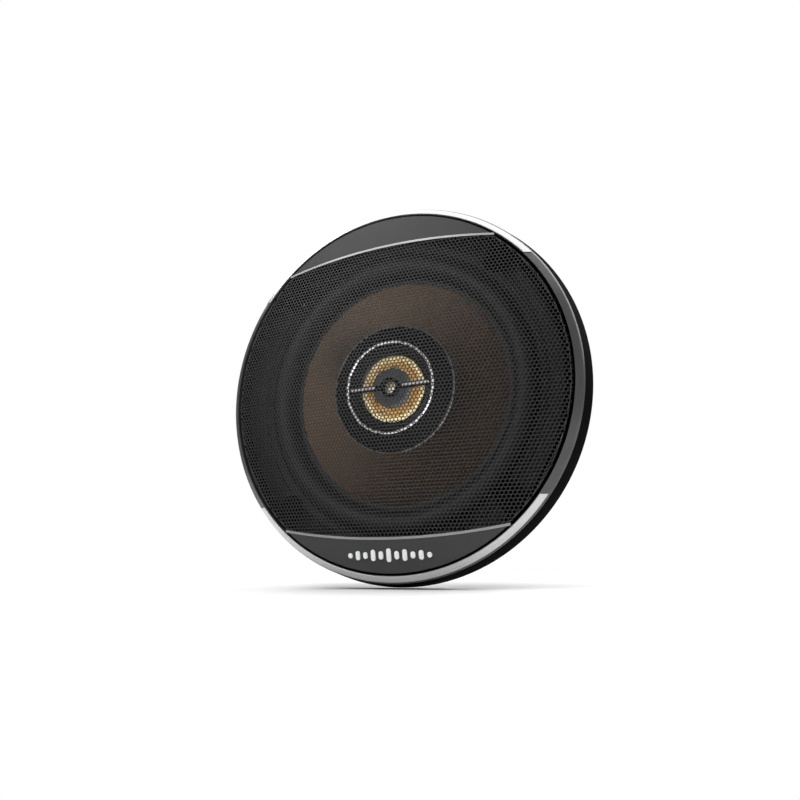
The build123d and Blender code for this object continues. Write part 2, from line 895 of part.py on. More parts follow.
with BuildPart() as terminal_board:
    with BuildSketch(across(board_back_y)):
        with Locations((0, board_outer_z + board_sheet / 2)):
            Rectangle(24.0, board_sheet)
    extrude(amount=board_back_y - board_front_y)
    with BuildSketch(across(foot_y + 2)):
        with Locations((0, board_outer_z + board_sheet)):
            Rectangle(10.0, 16.0, align=(Align.CENTER, Align.MIN))
    extrude(amount=2)
    with BuildSketch(across(foot_y + 2)):
        with Locations((0, -42.5)):
            Circle(1.6)
    extrude(amount=2, mode=Mode.SUBTRACT)
terminal_board.part.label = "terminal_board"
export_step(terminal_board.part, "parts/terminal_board.step")

with BuildPart() as board_rivet:
    with BuildSketch(across(foot_y + 2)):
        with Locations((0, -42.5)):
            Circle(1.6)
    extrude(amount=2)
    with BuildSketch(across(foot_y + 3)):
        with Locations((0, -42.5)):
            Circle(2.8)
    extrude(amount=1)
board_rivet.part.label = "board_rivet"
export_step(board_rivet.part, "parts/board_rivet.step")

with BuildPart() as positive_tab:
    with BuildSketch(across(34)):
        with Locations((-5.6, board_outer_z - 0.4)):
            Rectangle(4.8, 0.8)
    extrude(amount=16)
positive_tab.part.label = "positive_tab"
export_step(positive_tab.part, "parts/positive_tab.step")

with BuildPart() as negative_tab:
    with BuildSketch(across(34)):
        with Locations((5.6, board_outer_z - 0.4)):
            Rectangle(2.8, 0.8)
    extrude(amount=16)
negative_tab.part.label = "negative_tab"
export_step(negative_tab.part, "parts/negative_tab.step")

with BuildPart() as midrange_capacitor:
    with BuildSketch(Plane.YZ.offset(-10)):
        with Locations((25.5, -51.2)):
            Circle(4.5)
    extrude(amount=20)
    fillet(midrange_capacitor.edges().filter_by(GeomType.CIRCLE), 0.6)
midrange_capacitor.part.label = "midrange_capacitor"
export_step(midrange_capacitor.part, "parts/midrange_capacitor.step")

with BuildPart() as tweeter_capacitor:
    with BuildSketch(Plane.YZ.offset(-7)):
        with Locations((33.2, -51.2)):
            Circle(3.2)
    extrude(amount=14)
    fillet(tweeter_capacitor.edges().filter_by(GeomType.CIRCLE), 0.5)
tweeter_capacitor.part.label = "tweeter_capacitor"
export_step(tweeter_capacitor.part, "parts/tweeter_capacitor.step")
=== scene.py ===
"""Looks of the coaxial car speaker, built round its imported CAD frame.

Lengths are metres in the part's own frame: +Z up, the speaker's axis along Y, its front facing -Y.
Turned outlines are lists of (radius, y) points swept round the Y axis.
"""

import json
from math import acos, atan2, copysign, cos, hypot, pi, radians, sin, sqrt

import bpy
import bmesh
import numpy as np
from mathutils import Matrix, Vector

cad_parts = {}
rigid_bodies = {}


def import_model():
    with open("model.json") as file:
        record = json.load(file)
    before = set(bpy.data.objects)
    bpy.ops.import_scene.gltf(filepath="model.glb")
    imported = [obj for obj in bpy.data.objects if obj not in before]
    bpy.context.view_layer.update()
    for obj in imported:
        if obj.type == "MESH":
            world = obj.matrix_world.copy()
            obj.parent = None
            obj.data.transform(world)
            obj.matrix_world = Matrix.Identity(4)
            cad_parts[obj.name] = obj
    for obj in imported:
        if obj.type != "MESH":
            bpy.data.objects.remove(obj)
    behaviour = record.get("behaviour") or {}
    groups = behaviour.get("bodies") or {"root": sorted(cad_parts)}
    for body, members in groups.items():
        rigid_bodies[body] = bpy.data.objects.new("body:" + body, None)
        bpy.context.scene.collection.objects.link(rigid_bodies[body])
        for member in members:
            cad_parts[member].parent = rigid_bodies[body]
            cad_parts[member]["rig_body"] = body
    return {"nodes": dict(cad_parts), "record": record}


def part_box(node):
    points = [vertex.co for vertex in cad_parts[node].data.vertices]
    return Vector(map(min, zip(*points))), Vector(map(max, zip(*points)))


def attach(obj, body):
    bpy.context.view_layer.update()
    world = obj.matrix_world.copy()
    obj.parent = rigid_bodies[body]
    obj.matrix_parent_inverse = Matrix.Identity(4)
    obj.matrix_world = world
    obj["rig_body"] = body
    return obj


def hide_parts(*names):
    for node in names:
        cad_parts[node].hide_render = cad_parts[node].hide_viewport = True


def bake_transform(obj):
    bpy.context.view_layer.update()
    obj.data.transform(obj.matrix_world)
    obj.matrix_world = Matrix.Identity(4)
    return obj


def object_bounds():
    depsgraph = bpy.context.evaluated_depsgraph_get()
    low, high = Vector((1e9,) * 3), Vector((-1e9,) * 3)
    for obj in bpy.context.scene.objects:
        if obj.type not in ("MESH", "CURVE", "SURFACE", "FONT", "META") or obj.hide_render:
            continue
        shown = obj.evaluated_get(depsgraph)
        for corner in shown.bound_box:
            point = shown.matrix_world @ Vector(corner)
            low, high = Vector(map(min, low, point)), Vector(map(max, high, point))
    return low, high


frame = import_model()
cad_low, cad_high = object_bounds()
MM = 0.001

# ---- Sizes read from the frame ----
mesh_low, mesh_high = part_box("grille_mesh")
MESH_SHEET = 0.8 * MM
MESH_RADIUS = mesh_high.x
MESH_APEX = mesh_low.y
DOME_RISE = mesh_high.y - MESH_SHEET - MESH_APEX
DOME_RADIUS = (MESH_RADIUS**2 + DOME_RISE**2) / (2 * DOME_RISE)
ARC_HEIGHT = mesh_high.z              # panel arcs above and below the axis, at the middle
ARC_RADIUS = 337 * MM
STRIP_WIDTH = 1.1 * MM
PANEL_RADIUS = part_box("panel_top")[1].z
PANEL_DEPTH = 2.9 * MM


def dome_y(x, z):
    """Depth of the mesh's front surface at a point of the front view."""
    return MESH_APEX + DOME_RADIUS - np.sqrt(DOME_RADIUS**2 - x * x - z * z)


def arc_z(x, inset=0.0):
    """Height of the upper panel arc, or of a line a little beyond it."""
    radius = ARC_RADIUS + inset
    return ARC_HEIGHT - ARC_RADIUS + np.sqrt(radius * radius - x * x)


# ---- Mesh building ----
def add_object(name, data):
    """New object in the scene from a mesh, curve, lamp or camera."""
    made = bpy.data.objects.new(name, data)
    bpy.context.scene.collection.objects.link(made)
    return made


def new_piece(name, points, faces, smooth_angle=35):
    """Mesh object from points and faces, shaded smooth up to an angle."""
    mesh = bpy.data.meshes.new(name)
    mesh.from_pydata(points, [], faces)
    mesh.validate()
    piece = add_object(name, mesh)
    tidy = bmesh.new()
    tidy.from_mesh(mesh)
    bmesh.ops.recalc_face_normals(tidy, faces=tidy.faces)
    limit = radians(smooth_angle)
    for edge in tidy.edges:
        edge.smooth = len(edge.link_faces) != 2 or edge.calc_face_angle(0) < limit
    for face in tidy.faces:
        face.smooth = True
    tidy.to_mesh(mesh)
    tidy.free()
    return piece


def rounded(points, radius, steps=4):
    """Closed outline with each corner replaced by a small arc."""
    corners = [Vector(p) for p in points]
    outline = []
    for index, corner in enumerate(corners):
        before = corners[index - 1] - corner
        after = corners[(index + 1) % len(corners)] - corner
        reach = min(radius, 0.45 * before.length, 0.45 * after.length)
        start = corner + before.normalized() * reach
        end = corner + after.normalized() * reach
        for step in range(steps + 1):
            t = step / steps
            outline.append((1 - t) ** 2 * start + 2 * t * (1 - t) * corner + t * t * end)
    return [(p.x, p.y) for p in outline]


def slab(inner, outer, front, back):
    """Outline of a flat ring."""
    return [(inner, back), (inner, front), (outer, front), (outer, back)]


def arc(start, middle, end, steps=24):
    """Points on the circle through three points, from start to end."""
    a, b, c = Vector(start), Vector(middle), Vector(end)
    d = 2 * (a.x * (b.y - c.y) + b.x * (c.y - a.y) + c.x * (a.y - b.y))
    ux = (a.dot(a) * (b.y - c.y) + b.dot(b) * (c.y - a.y) + c.dot(c) * (a.y - b.y)) / d
    uy = (a.dot(a) * (c.x - b.x) + b.dot(b) * (a.x - c.x) + c.dot(c) * (b.x - a.x)) / d
    centre = Vector((ux, uy))
    first = atan2(a.y - uy, a.x - ux)
    middle_turn = (atan2(b.y - uy, b.x - ux) - first) % (2 * pi)
    last_turn = (atan2(c.y - uy, c.x - ux) - first) % (2 * pi)
    if middle_turn > last_turn:
        last_turn -= 2 * pi
    size = (a - centre).length
    turns = [first + last_turn * step / steps for step in range(steps + 1)]
    return [(ux + size * cos(t), uy + size * sin(t)) for t in turns]


def band(here, there, count):
    """Faces between two closed rings of points, given by each ring's first point."""
    faces = []
    for index in range(count):
        following = (index + 1) % count
        faces.append((here + index, here + following, there + following, there + index))
    return faces


def lathe(name, outline, segments=288, start=0.0, sweep=360.0, smooth_angle=35):
    """Closed outline of (radius, y) points swept round the Y axis, from +X towards +Z."""
    whole = abs(sweep - 360.0) < 1e-6
    rings = segments if whole else segments + 1
    count = len(outline)
    points = []
    for ring in range(rings):
        angle = radians(start + sweep * ring / segments)
        for radius, y in outline:
            points.append((radius * cos(angle), y, radius * sin(angle)))
    faces = []
    for ring in range(segments):
        faces += band(ring * count, (ring + 1) % rings * count, count)
    if not whole:
        faces.append(tuple(range(count)))
        faces.append(tuple(range((rings - 1) * count, rings * count)))
    return new_piece(name, points, faces, smooth_angle)


def bevelled(piece, width, segments=3, angle=30):
    """Rounds the piece's sharp edges."""
    modifier = piece.modifiers.new("edges", "BEVEL")
    modifier.width = width
    modifier.segments = segments
    modifier.limit_method = "ANGLE"
    modifier.angle_limit = radians(angle)
    return piece


def finish_piece(piece, body, slot, *nodes, look=None):
    """Puts a piece on its body, gives it its material, and lets it stand for CAD nodes."""
    piece.data.materials.clear()
    piece.data.materials.append(MATERIALS[look or slot])
    if body:
        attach(piece, body)
    if nodes:
        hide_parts(*nodes)
    return piece


# ---- Materials ----
MATERIALS = {}


class Shader:
    """A principled material, kept in MATERIALS, with small helpers for chaining nodes."""

    def __init__(self, name):
        self.material = bpy.data.materials.new(name)
        MATERIALS[name] = self.material
        self.material.use_nodes = True
        self.tree = self.material.node_tree
        self.surface = self.tree.nodes["Principled BSDF"]
        self.place = self.tree.nodes.new("ShaderNodeTexCoord").outputs["Object"]

    def node(self, kind, inputs=(), **settings):
        made = self.tree.nodes.new(kind)
        for key, value in settings.items():
            setattr(made, key, value)
        for key, value in dict(inputs).items():
            self.feed(made.inputs[key], value)
        return made

    def feed(self, socket, value):
        """Links a socket to another node's output, or gives it a value."""
        if isinstance(value, bpy.types.NodeSocket):
            self.tree.links.new(value, socket)
        else:
            socket.default_value = value

    def math(self, operation, first, second=0.0):
        return self.node("ShaderNodeMath", {0: first, 1: second}, operation=operation).outputs[0]

    def set(self, **inputs):
        for key, value in inputs.items():
            self.feed(self.surface.inputs[key.replace("_", " ")], value)

    def noise(self, scale, detail=3.0, roughness=0.55, place=None):
        inputs = {"Vector": place or self.place, "Scale": scale}
        inputs |= {"Detail": detail, "Roughness": roughness}
        return self.node("ShaderNodeTexNoise", inputs).outputs["Fac"]

    def cells(self, scale):
        """Distance from the middle of the nearest cell."""
        inputs = {"Vector": self.place, "Scale": scale}
        return self.node("ShaderNodeTexVoronoi", inputs).outputs["Distance"]

    def spread(self, value, low, high, start=0.3, end=0.7):
        """Maps a value running from start to end onto low to high."""
        inputs = {"Value": value, "From Min": start, "From Max": end}
        inputs |= {"To Min": low, "To Max": high}
        return self.node("ShaderNodeMapRange", inputs, clamp=True).outputs["Result"]

    def mix(self, share, first, second):
        """Colour between two colours."""
        inputs = {0: share, 6: first, 7: second}
        return self.node("ShaderNodeMix", inputs, data_type="RGBA").outputs[2]

    def mottle(self, value, color, amount):
        """Colour that wanders a share darker and lighter with a value."""
        dark, light = shaded(color, 1 - amount), shaded(color, 1 + amount)
        return self.mix(self.spread(value, 0, 1), dark, light)

    def bump(self, height, strength, distance):
        inputs = {"Height": height, "Strength": strength, "Distance": distance}
        if self.surface.inputs["Normal"].links:
            inputs["Normal"] = self.surface.inputs["Normal"].links[0].from_socket
        self.set(Normal=self.node("ShaderNodeBump", inputs).outputs["Normal"])

    def axes(self, place=None):
        """The three coordinates of a position."""
        return self.node("ShaderNodeSeparateXYZ", {0: place or self.place}).outputs

    def across(self, first, second):
        """Distance from two coordinates at right angles."""
        squares = [self.math("MULTIPLY", value, value) for value in (first, second)]
        return self.math("SQRT", self.math("ADD", *squares))

    def polar(self):
        """Radius from the speaker's axis, angle round it, and depth, as three values."""
        x, y, z = self.axes()
        return self.across(x, z), self.math("ARCTAN2", z, x), y

    def turned_place(self, lines):
        """Texture position drawn out round the axis, for the fine lines of turned finishes."""
        radius, angle, depth = self.polar()
        scaled = ((radius, lines), (angle, 1.2), (depth, lines))
        inputs = {axis: self.math("MULTIPLY", *pair) for axis, pair in enumerate(scaled)}
        return self.node("ShaderNodeCombineXYZ", inputs).outputs[0]


def grey(value, tint=0.0):
    """Grey, with a tint towards blue."""
    return (value * (1 - tint), value, value * (1 + tint), 1.0)


def shaded(color, factor):
    """A colour made darker or lighter."""
    return tuple(min(1, c * factor) for c in color[:3]) + (1,)


def moulded(name, color, roughness, grain=2600, depth=0.02, mottle=0.12, gloss=0.5):
    """Moulded plastic: fine spark grain, faint mottling of colour and gloss."""
    s = Shader(name)
    s.set(Base_Color=s.mottle(s.noise(60, 4), color, mottle), Specular_IOR_Level=gloss)
    s.set(Roughness=s.spread(s.noise(grain * 0.4, 2), roughness - 0.05, roughness + 0.07))
    s.bump(s.noise(grain, 2), 0.35, depth * MM)


def painted(name, color, roughness, metallic=0.0, grain=1800, depth=0.01, coat=0.0, gloss=0.5):
    """Sprayed or powder-coated metal with a faint orange peel."""
    s = Shader(name)
    s.set(Base_Color=s.mottle(s.noise(90, 3), color, 0.1), Metallic=metallic)
    s.set(Roughness=s.spread(s.noise(grain * 0.5, 2), roughness - 0.04, roughness + 0.06))
    s.set(Coat_Weight=coat, Coat_Roughness=0.25, Specular_IOR_Level=gloss)
    s.bump(s.noise(grain, 3), 0.25, depth * MM)


def turned_metal(name, color, roughness, lines=900, depth=0.008, streak=0.12, metallic=1.0):
    """Metal, or metal-like lacquer, with fine lines round the speaker's axis."""
    s = Shader(name)
    grain = s.noise(1.0, 4, 0.7, s.turned_place(lines))
    shade = s.math("MULTIPLY", s.math("ADD", grain, s.noise(45, 3)), 0.5)
    s.set(Base_Color=s.mottle(shade, color, streak), Metallic=metallic)
    s.set(Roughness=s.spread(grain, roughness - 0.06, roughness + 0.1))
    s.bump(grain, 0.3, depth * MM)


def gilded(name, amber, pale, pale_from, pale_at):
    """Anodised gold with fine turned lines, amber inside one radius and pale beyond another; on
    the midrange cone the pale outer band is a painted highlight along its edge.
    """
    s = Shader(name)
    grain = s.noise(1.0, 4, 0.7, s.turned_place(1500))
    tone = s.mix(s.spread(s.polar()[0], 0, 1, pale_from, pale_at), amber, pale)
    s.set(Base_Color=s.mix(s.spread(grain, 0, 0.35), tone, amber), Metallic=0.5)
    s.set(Roughness=s.spread(grain, 0.24, 0.38))
    s.bump(grain, 0.3, 0.006 * MM)


def rubber(name, color, roughness, gloss=0.35, glue_from=200 * MM, glue_gloss=0.02):
    """Matt rubber with a soft bloom and fine grain, dull beyond a radius where glue covers it."""
    s = Shader(name)
    bloom = s.spread(s.noise(130, 5, 0.65), 0, 0.6, 0.45, 0.8)
    edge = 0.5 * MM
    shine = s.spread(s.polar()[0], gloss, glue_gloss, glue_from - edge, glue_from + edge)
    s.set(Base_Color=s.mix(bloom, color, shaded(color, 1.6)), Specular_IOR_Level=shine)
    s.set(Roughness=s.spread(s.noise(700, 3), roughness - 0.06, roughness + 0.08))
    s.bump(s.noise(3200, 2), 0.3, 0.02 * MM)


def woven(name, warp, weft, pitch, roughness=0.6, depth=0.12):
    """Plain weave of two thread colours, threads a pitch apart, turned 45 degrees, with painted
    shade in the hollows between threads.
    """
    s = Shader(name)
    rotation = (0, radians(45), 0)
    turned = s.node("ShaderNodeMapping", {"Vector": s.place, "Rotation": rotation}).outputs[0]
    x, _, z = s.axes(turned)
    wave = pi / pitch
    along = s.math("SINE", s.math("MULTIPLY", x, wave))
    cross = s.math("SINE", s.math("MULTIPLY", z, wave))
    over = s.math("GREATER_THAN", s.math("MULTIPLY", along, cross), 0.0)
    threads = {0: over, 2: s.math("ABSOLUTE", along), 3: s.math("ABSOLUTE", cross)}
    height = s.node("ShaderNodeMix", threads).outputs[0]
    # Painted shade: each thread's colour runs down to a darker warp colour in the low hollows
    # between threads.
    shade = shaded(warp, 0.55)
    lit = s.mix(s.spread(height, 0, 1, 0.1, 0.8), shade, s.mix(over, weft, warp))
    s.set(Base_Color=s.mix(s.spread(s.noise(120, 4), 0.0, 0.35), lit, shade))
    s.set(Roughness=s.spread(s.noise(900, 3), roughness - 0.08, roughness + 0.08))
    s.set(Sheen_Weight=0.2, Sheen_Roughness=0.4)
    s.bump(height, 0.7, depth * MM)


def felt(name, color):
    """Short-fibre felt."""
    s = Shader(name)
    fibre = s.noise(2400, 5, 0.75)
    s.set(Base_Color=s.mix(s.spread(fibre, 0, 1), color, shaded(color, 2.2)))
    s.set(Roughness=0.9, Sheen_Weight=0.5)
    s.bump(fibre, 0.8, 0.06 * MM)


def wound(name, color, pitch):
    """Close-wound or braided wire, turns a pitch apart along the axis, with painted shade
    darkening the grooves between turns.
    """
    s = Shader(name)
    turns = s.math("ABSOLUTE", s.math("SINE", s.math("MULTIPLY", s.axes()[1], pi / pitch)))
    # Painted shade: the colour falls to about a third in the grooves between turns.
    s.set(Base_Color=s.mix(s.spread(turns, 0, 1, 0.1, 0.7), shaded(color, 0.35), color))
    s.set(Roughness=s.spread(s.noise(500, 3), 0.25, 0.4), Metallic=1.0)
    s.bump(turns, 0.7, pitch * 0.4)


def ceramic(name, color):
    """Sintered ferrite: dull, slightly pitted, with ground marks."""
    s = Shader(name)
    cloud = s.noise(150, 5, 0.65)
    s.set(Base_Color=s.mix(s.spread(cloud, 0, 1), color, shaded(color, 1.7)))
    s.set(Roughness=s.spread(cloud, 0.5, 0.7))
    s.bump(s.cells(900.0), 0.25, 0.05 * MM)
    s.bump(s.noise(1500, 3), 0.4, 0.02 * MM)


def foam(name, color):
    """Closed-cell foam."""
    s = Shader(name)
    cells = s.cells(1600.0)
    s.set(Base_Color=s.mix(s.spread(cells, 0, 1, 0.0, 0.6), color, shaded(color, 1.6)))
    s.set(Roughness=0.85)
    s.bump(cells, 0.7, 0.15 * MM)


CONE_WARP, CONE_WEFT = (0.160, 0.096, 0.048, 1), (0.110, 0.066, 0.034, 1)
CLOTH_WARP, CLOTH_WEFT = (0.60, 0.42, 0.14, 1), (0.50, 0.34, 0.11, 1)
# The pale gold at the midrange cone's edge is a painted highlight, standing for the bright glints
# along it.
AMBER, GOLD_HIGHLIGHT = (0.42, 0.235, 0.06, 1), (0.78, 0.67, 0.37, 1)
DOME_AMBER, DOME_PALE = (0.80, 0.68, 0.40, 1), (0.95, 0.88, 0.68, 1)
HIGHLIGHT_FROM, HIGHLIGHT_AT = 13.4 * MM, 14.9 * MM  # radii between which the gold turns pale, a painted highlight along the cone's edge
ROLL_END = 70.0 * MM                  # where the roll meets its glued landing
moulded("wall_black", grey(0.0025), 0.6, depth=0.012, gloss=0.008)
painted("ring_grey", grey(0.070), 0.32, metallic=0.1, gloss=0.45)
turned_metal("trim_silver", grey(0.51), 0.28, lines=700, depth=0.004, streak=0.05)
moulded("panel_grey", grey(0.050, 0.01), 0.42, 2200, depth=0.006, mottle=0.05, gloss=0.2)
painted("mesh_black", grey(0.012), 0.32, grain=2600, depth=0.012, gloss=0.34)
painted("frame_black", grey(0.012), 0.42, grain=1500, depth=0.02, coat=0.1, gloss=0.4)
foam("gasket_foam", grey(0.010))
rubber("roll_rubber", grey(0.004), 0.6, gloss=0.30, glue_from=ROLL_END)
woven("cone_bronze", CONE_WARP, CONE_WEFT, pitch=0.9 * MM)
woven("spider_cloth", CLOTH_WARP, CLOTH_WEFT, pitch=0.6 * MM, roughness=0.8)
painted("former_film", (0.28, 0.11, 0.03, 1), 0.25, grain=600, coat=0.5)
wound("copper", (0.72, 0.32, 0.16, 1), pitch=0.25 * MM)
felt("felt", grey(0.012))
turned_metal("plated_steel", (0.60, 0.60, 0.61, 1), 0.30, lines=600, depth=0.006, streak=0.10)
ceramic("ferrite", grey(0.040))
moulded("pod_black", grey(0.003, 0.03), 0.5, 2400, depth=0.01, gloss=0.1)
turned_metal("pod_silver", grey(0.90), 0.30, depth=0.002, streak=0.04, metallic=0.25)
gilded("gold", AMBER, GOLD_HIGHLIGHT, HIGHLIGHT_FROM, HIGHLIGHT_AT)
moulded("terminal_grey", (0.035, 0.028, 0.022, 1), 0.55, 1500, depth=0.03, mottle=0.25)
turned_metal("tab_plate", (0.72, 0.68, 0.60, 1), 0.28, lines=400, depth=0.004, streak=0.08)
moulded("capacitor_sleeve", (0.015, 0.03, 0.10, 1), 0.22, 500, depth=0.01, mottle=0.10)
# Looks of single pieces that share a slot with others
turned_metal("strip_satin", grey(0.30), 0.42, lines=700, depth=0.004, streak=0.05)
turned_metal("satin_band", grey(0.17), 0.34, depth=0.002, streak=0.04, metallic=0.4)
moulded("tweeter_slate", grey(0.085, 0.06), 0.6, 2400, depth=0.01, gloss=0.2)
gilded("dome_gold", DOME_AMBER, DOME_PALE, 0, 1.0 * MM)
rubber("patch_rubber", grey(0.05), 0.5)
turned_metal("badge_white", grey(0.85), 0.3, lines=500, depth=0.002, streak=0.03, metallic=0.3)

NODE_LOOKS = {"lead_patch": "patch_rubber", "badge_bars": "badge_white"}
for row in frame["record"]["subparts"]:
    cad_piece = frame["nodes"][row["node"]]
    cad_piece.data.materials.clear()
    cad_piece.data.materials.append(MATERIALS[NODE_LOOKS.get(row["node"], row["material_slot"])])


# ---- Grille ring, trims and frame ----
ring_low, ring_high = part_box("trim_ring")
RING_FRONT = ring_low.y
RING_BACK = ring_high.y
RING_EDGE = ring_high.x               # outermost radius of the ring
RING_INNER = 87.2 * MM
SHELF_SHEET = 1.4 * MM                # thickness of the grille frame's shelf and its tongues
FACE_OUTER = (90.3 * MM, -10.95 * MM)
FACE_TURN = atan2(FACE_OUTER[1] - RING_FRONT, FACE_OUTER[0] - RING_INNER)
FACE_LENGTH = (FACE_OUTER[0] - RING_INNER) / cos(FACE_TURN)


def face_point(along, above):
    """Point on the ring's sloping face: a distance along it, and a distance above it."""
    return (
        RING_INNER + along * cos(FACE_TURN) + above * sin(FACE_TURN),
        RING_FRONT + along * sin(FACE_TURN) - above * cos(FACE_TURN),
    )


def build_grille_ring():
    """Satin ring with a crisp inner lip and a bright rolled outer bevel."""
    outline = [(RING_INNER, RING_BACK), (RING_INNER, RING_FRONT), FACE_OUTER]
    outline += [(RING_EDGE, RING_BACK - 0.1 * MM), (RING_EDGE, RING_BACK)]
    ring = lathe("grille_ring", rounded(outline, 0.22 * MM), 384)
    finish_piece(ring, "grille", "ring_grey", "trim_ring")


def level_ends(trim, start):
    """Swings a trim's points round the axis so that its ends are cut level instead of radially."""
    cut_height = RING_INNER * sin(radians(start))
    for vertex in trim.data.vertices:
        x, y, z = vertex.co
        radius = hypot(x, z)
        side = copysign(1, z)
        reach = acos(cut_height / radius) / radians(90 - start)
        from_top = atan2(x, abs(z)) * reach
        vertex.co = (radius * sin(from_top), y, side * radius * cos(from_top))


def build_trims():
    """Two bright skins on the ring's face, above and below."""
    near, far = 0.25 * MM, FACE_LENGTH - 0.25 * MM
    under, over = -0.02 * MM, 0.35 * MM
    corners = ((near, under), (near, over), (far, over), (far, under))
    outline = rounded([face_point(*corner) for corner in corners], 0.14 * MM, 3)
    start = 38.5
    sweep = 180 - 2 * start
    for node, angle in (("trim_top", start), ("trim_bottom", start + 180)):
        trim = lathe(node + "_skin", outline, 160, angle, sweep)
        level_ends(trim, start)
        finish_piece(bevelled(trim, 0.08 * MM, 2, 50), "grille", "trim_silver", node)


def build_frame():
    """Side wall with its rounded foot, and the gripping ribs inside."""
    low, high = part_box("grille_frame")
    foot, shelf, inner_wall = high.x, 82.5 * MM, 88.9 * MM
    shelf_back = low.y + SHELF_SHEET
    outline = [(foot - 0.6 * MM, 0.0), (foot, -1.2 * MM), (RING_EDGE, low.y), (shelf, low.y)]
    outline += [(shelf, shelf_back), (inner_wall, shelf_back), (foot - 2.4 * MM, 0.0)]
    wall = lathe("grille_wall", rounded(outline, 0.3 * MM), 384)
    finish_piece(wall, "grille", "wall_black", "grille_frame")
    ribs = bmesh.new()
    rib_size, rib_place = (2.6 * MM, 8.0 * MM, 3.0 * MM), (89.6 * MM, -4.8 * MM, 0)
    for index in range(12):
        rib = bmesh.ops.create_cube(ribs, size=1.0)["verts"]
        turn = Matrix.Rotation(radians(30 * index), 3, "Y")
        bmesh.ops.scale(ribs, vec=rib_size, verts=rib)
        bmesh.ops.translate(ribs, vec=rib_place, verts=rib)
        bmesh.ops.rotate(ribs, matrix=turn, verts=rib)
    mesh = bpy.data.meshes.new("grille_ribs")
    ribs.to_mesh(mesh)
    ribs.free()
    finish_piece(bevelled(add_object("grille_ribs", mesh), 0.25 * MM), "grille", "wall_black")
    for index in range(4):
        build_tongue(index, low.y)


def build_tongue(index, front):
    """Round-ended tongue inside the wall, over one of the bolt holes."""
    turn = radians(45 + 90 * index)
    outward = Vector((cos(turn), sin(turn)))
    sideways = Vector((-outward.y, outward.x))
    reach, half_width, middle = 8.0 * MM, 6.0 * MM, 79.5 * MM
    loop = []
    for step in range(49):
        angle = 2 * pi * step / 48
        straight = copysign(reach - half_width, cos(angle))
        along = middle + half_width * cos(angle) + straight
        loop.append(outward * along + sideways * half_width * sin(angle))
    tongue = cut_plate("screw_cover_%d" % (index + 1), [loop], front, SHELF_SHEET, 0.2 * MM)
    finish_piece(tongue, "grille", "wall_black")


# ---- Panels, strips and ornament ----
def curved_plate(name, lower_edge, upper_edge, half_width, side, proud, rows):
    """Closed plate that follows the dome between two edges given as heights over x."""
    columns = 160
    xs = half_width * np.sin(np.linspace(-pi / 2, pi / 2, columns + 1))
    points = []
    for layer_depth in (0.0, PANEL_DEPTH):
        for x in xs:
            for row in range(rows + 1):
                share = row / rows
                z = lower_edge(x) * (1 - share) + upper_edge(x) * share
                points.append((x, dome_y(x, z) - proud + layer_depth, side * z))
    stride = rows + 1
    layer = (columns + 1) * stride
    faces = []
    for column in range(columns):
        for row in range(rows):
            a = column * stride + row
            faces.append((a, a + 1, a + stride + 1, a + stride))
            faces.append(tuple(layer + i for i in (a + stride, a + stride + 1, a + 1, a)))
    walls = [(column * stride + row, stride) for column in range(columns) for row in (0, rows)]
    walls += [(column * stride + row, 1) for column in (0, columns) for row in range(rows)]
    for a, ahead in walls:
        faces.append((a, a + ahead, layer + a + ahead, layer + a))
    return new_piece(name, points, faces, 40)


def rim_z(x):
    """Height of the panels' round rim."""
    return np.sqrt(np.maximum(PANEL_RADIUS**2 - x * x, 0.0))


def strip_edge(x):
    """Height of the line between a strip and its panel."""
    return arc_z(x, STRIP_WIDTH)


def half_width_at(inset):
    """Where an arc line meets the rim."""
    low, high = 0.0, PANEL_RADIUS
    for _ in range(40):
        middle = (low + high) / 2
        if arc_z(middle, inset) < rim_z(middle):
            low = middle
        else:
            high = middle
    return low


def build_panels():
    """Lens panels and the bright strips along their arcs."""
    for side, label in ((1, "top"), (-1, "bottom")):
        name = "panel_" + label
        width = half_width_at(STRIP_WIDTH) - 0.15 * MM
        panel = curved_plate(name + "_shell", strip_edge, rim_z, width, side, 0.4 * MM, 10)
        finish_piece(bevelled(panel, 0.3 * MM), "grille", "panel_grey", name)
        width = half_width_at(0.0) - 0.1 * MM
        strip = curved_plate(name + "_strip", arc_z, strip_edge, width, side, 0.6 * MM, 2)
        strip = bevelled(strip, 0.28 * MM)
        finish_piece(strip, "grille", "trim_silver", "edge_strip_" + label, look="strip_satin")


# ---- Perforated mesh ----
ROW_PITCH = 1.61 * MM
HOLE_PITCH = ROW_PITCH / cos(radians(30))
HOLE_RADIUS = 0.73 * MM
HOLE_SIDES = 12
WEB_CROWN = 0.14 * MM                 # how far the sheet rolls back at the edge of a hole
CELL_MARGIN = 0.45 * HOLE_PITCH       # how far outside the outline a hole's middle may lie
WELD = 0.004 * MM                     # points closer than this are one
SLIVER = 2e-4 * MM * MM               # faces smaller than this are dropped


def keep_inside(points):
    """Moves points of the front view that lie outside the mesh's outline onto it."""
    x, z = points[:, 0].copy(), points[:, 1].copy()
    for _ in range(3):
        limit = arc_z(np.clip(x, -MESH_RADIUS, MESH_RADIUS))
        z = np.clip(z, -limit, limit)
        radius = np.hypot(x, z)
        share = np.where(radius > MESH_RADIUS, MESH_RADIUS / np.maximum(radius, 1e-9), 1.0)
        x, z = x * share, z * share
    return np.stack([x, z], 1)


def hole_centres():
    """Middles of the staggered holes in the front view, rows level."""
    rows = int(ARC_HEIGHT / ROW_PITCH) + 2
    columns = int((MESH_RADIUS + HOLE_PITCH) / HOLE_PITCH) + 1
    centres = []
    for row in range(-rows, rows + 1):
        shift = 0.5 * HOLE_PITCH * (row % 2)
        for column in range(-columns, columns + 1):
            centres.append((column * HOLE_PITCH + shift, row * ROW_PITCH))
    centres = np.array(centres)
    x, z = np.abs(centres[:, 0]), np.abs(centres[:, 1])
    inside = np.hypot(x, z) < MESH_RADIUS + CELL_MARGIN
    inside &= z < arc_z(np.clip(x, 0, MESH_RADIUS)) + CELL_MARGIN
    return centres[inside]


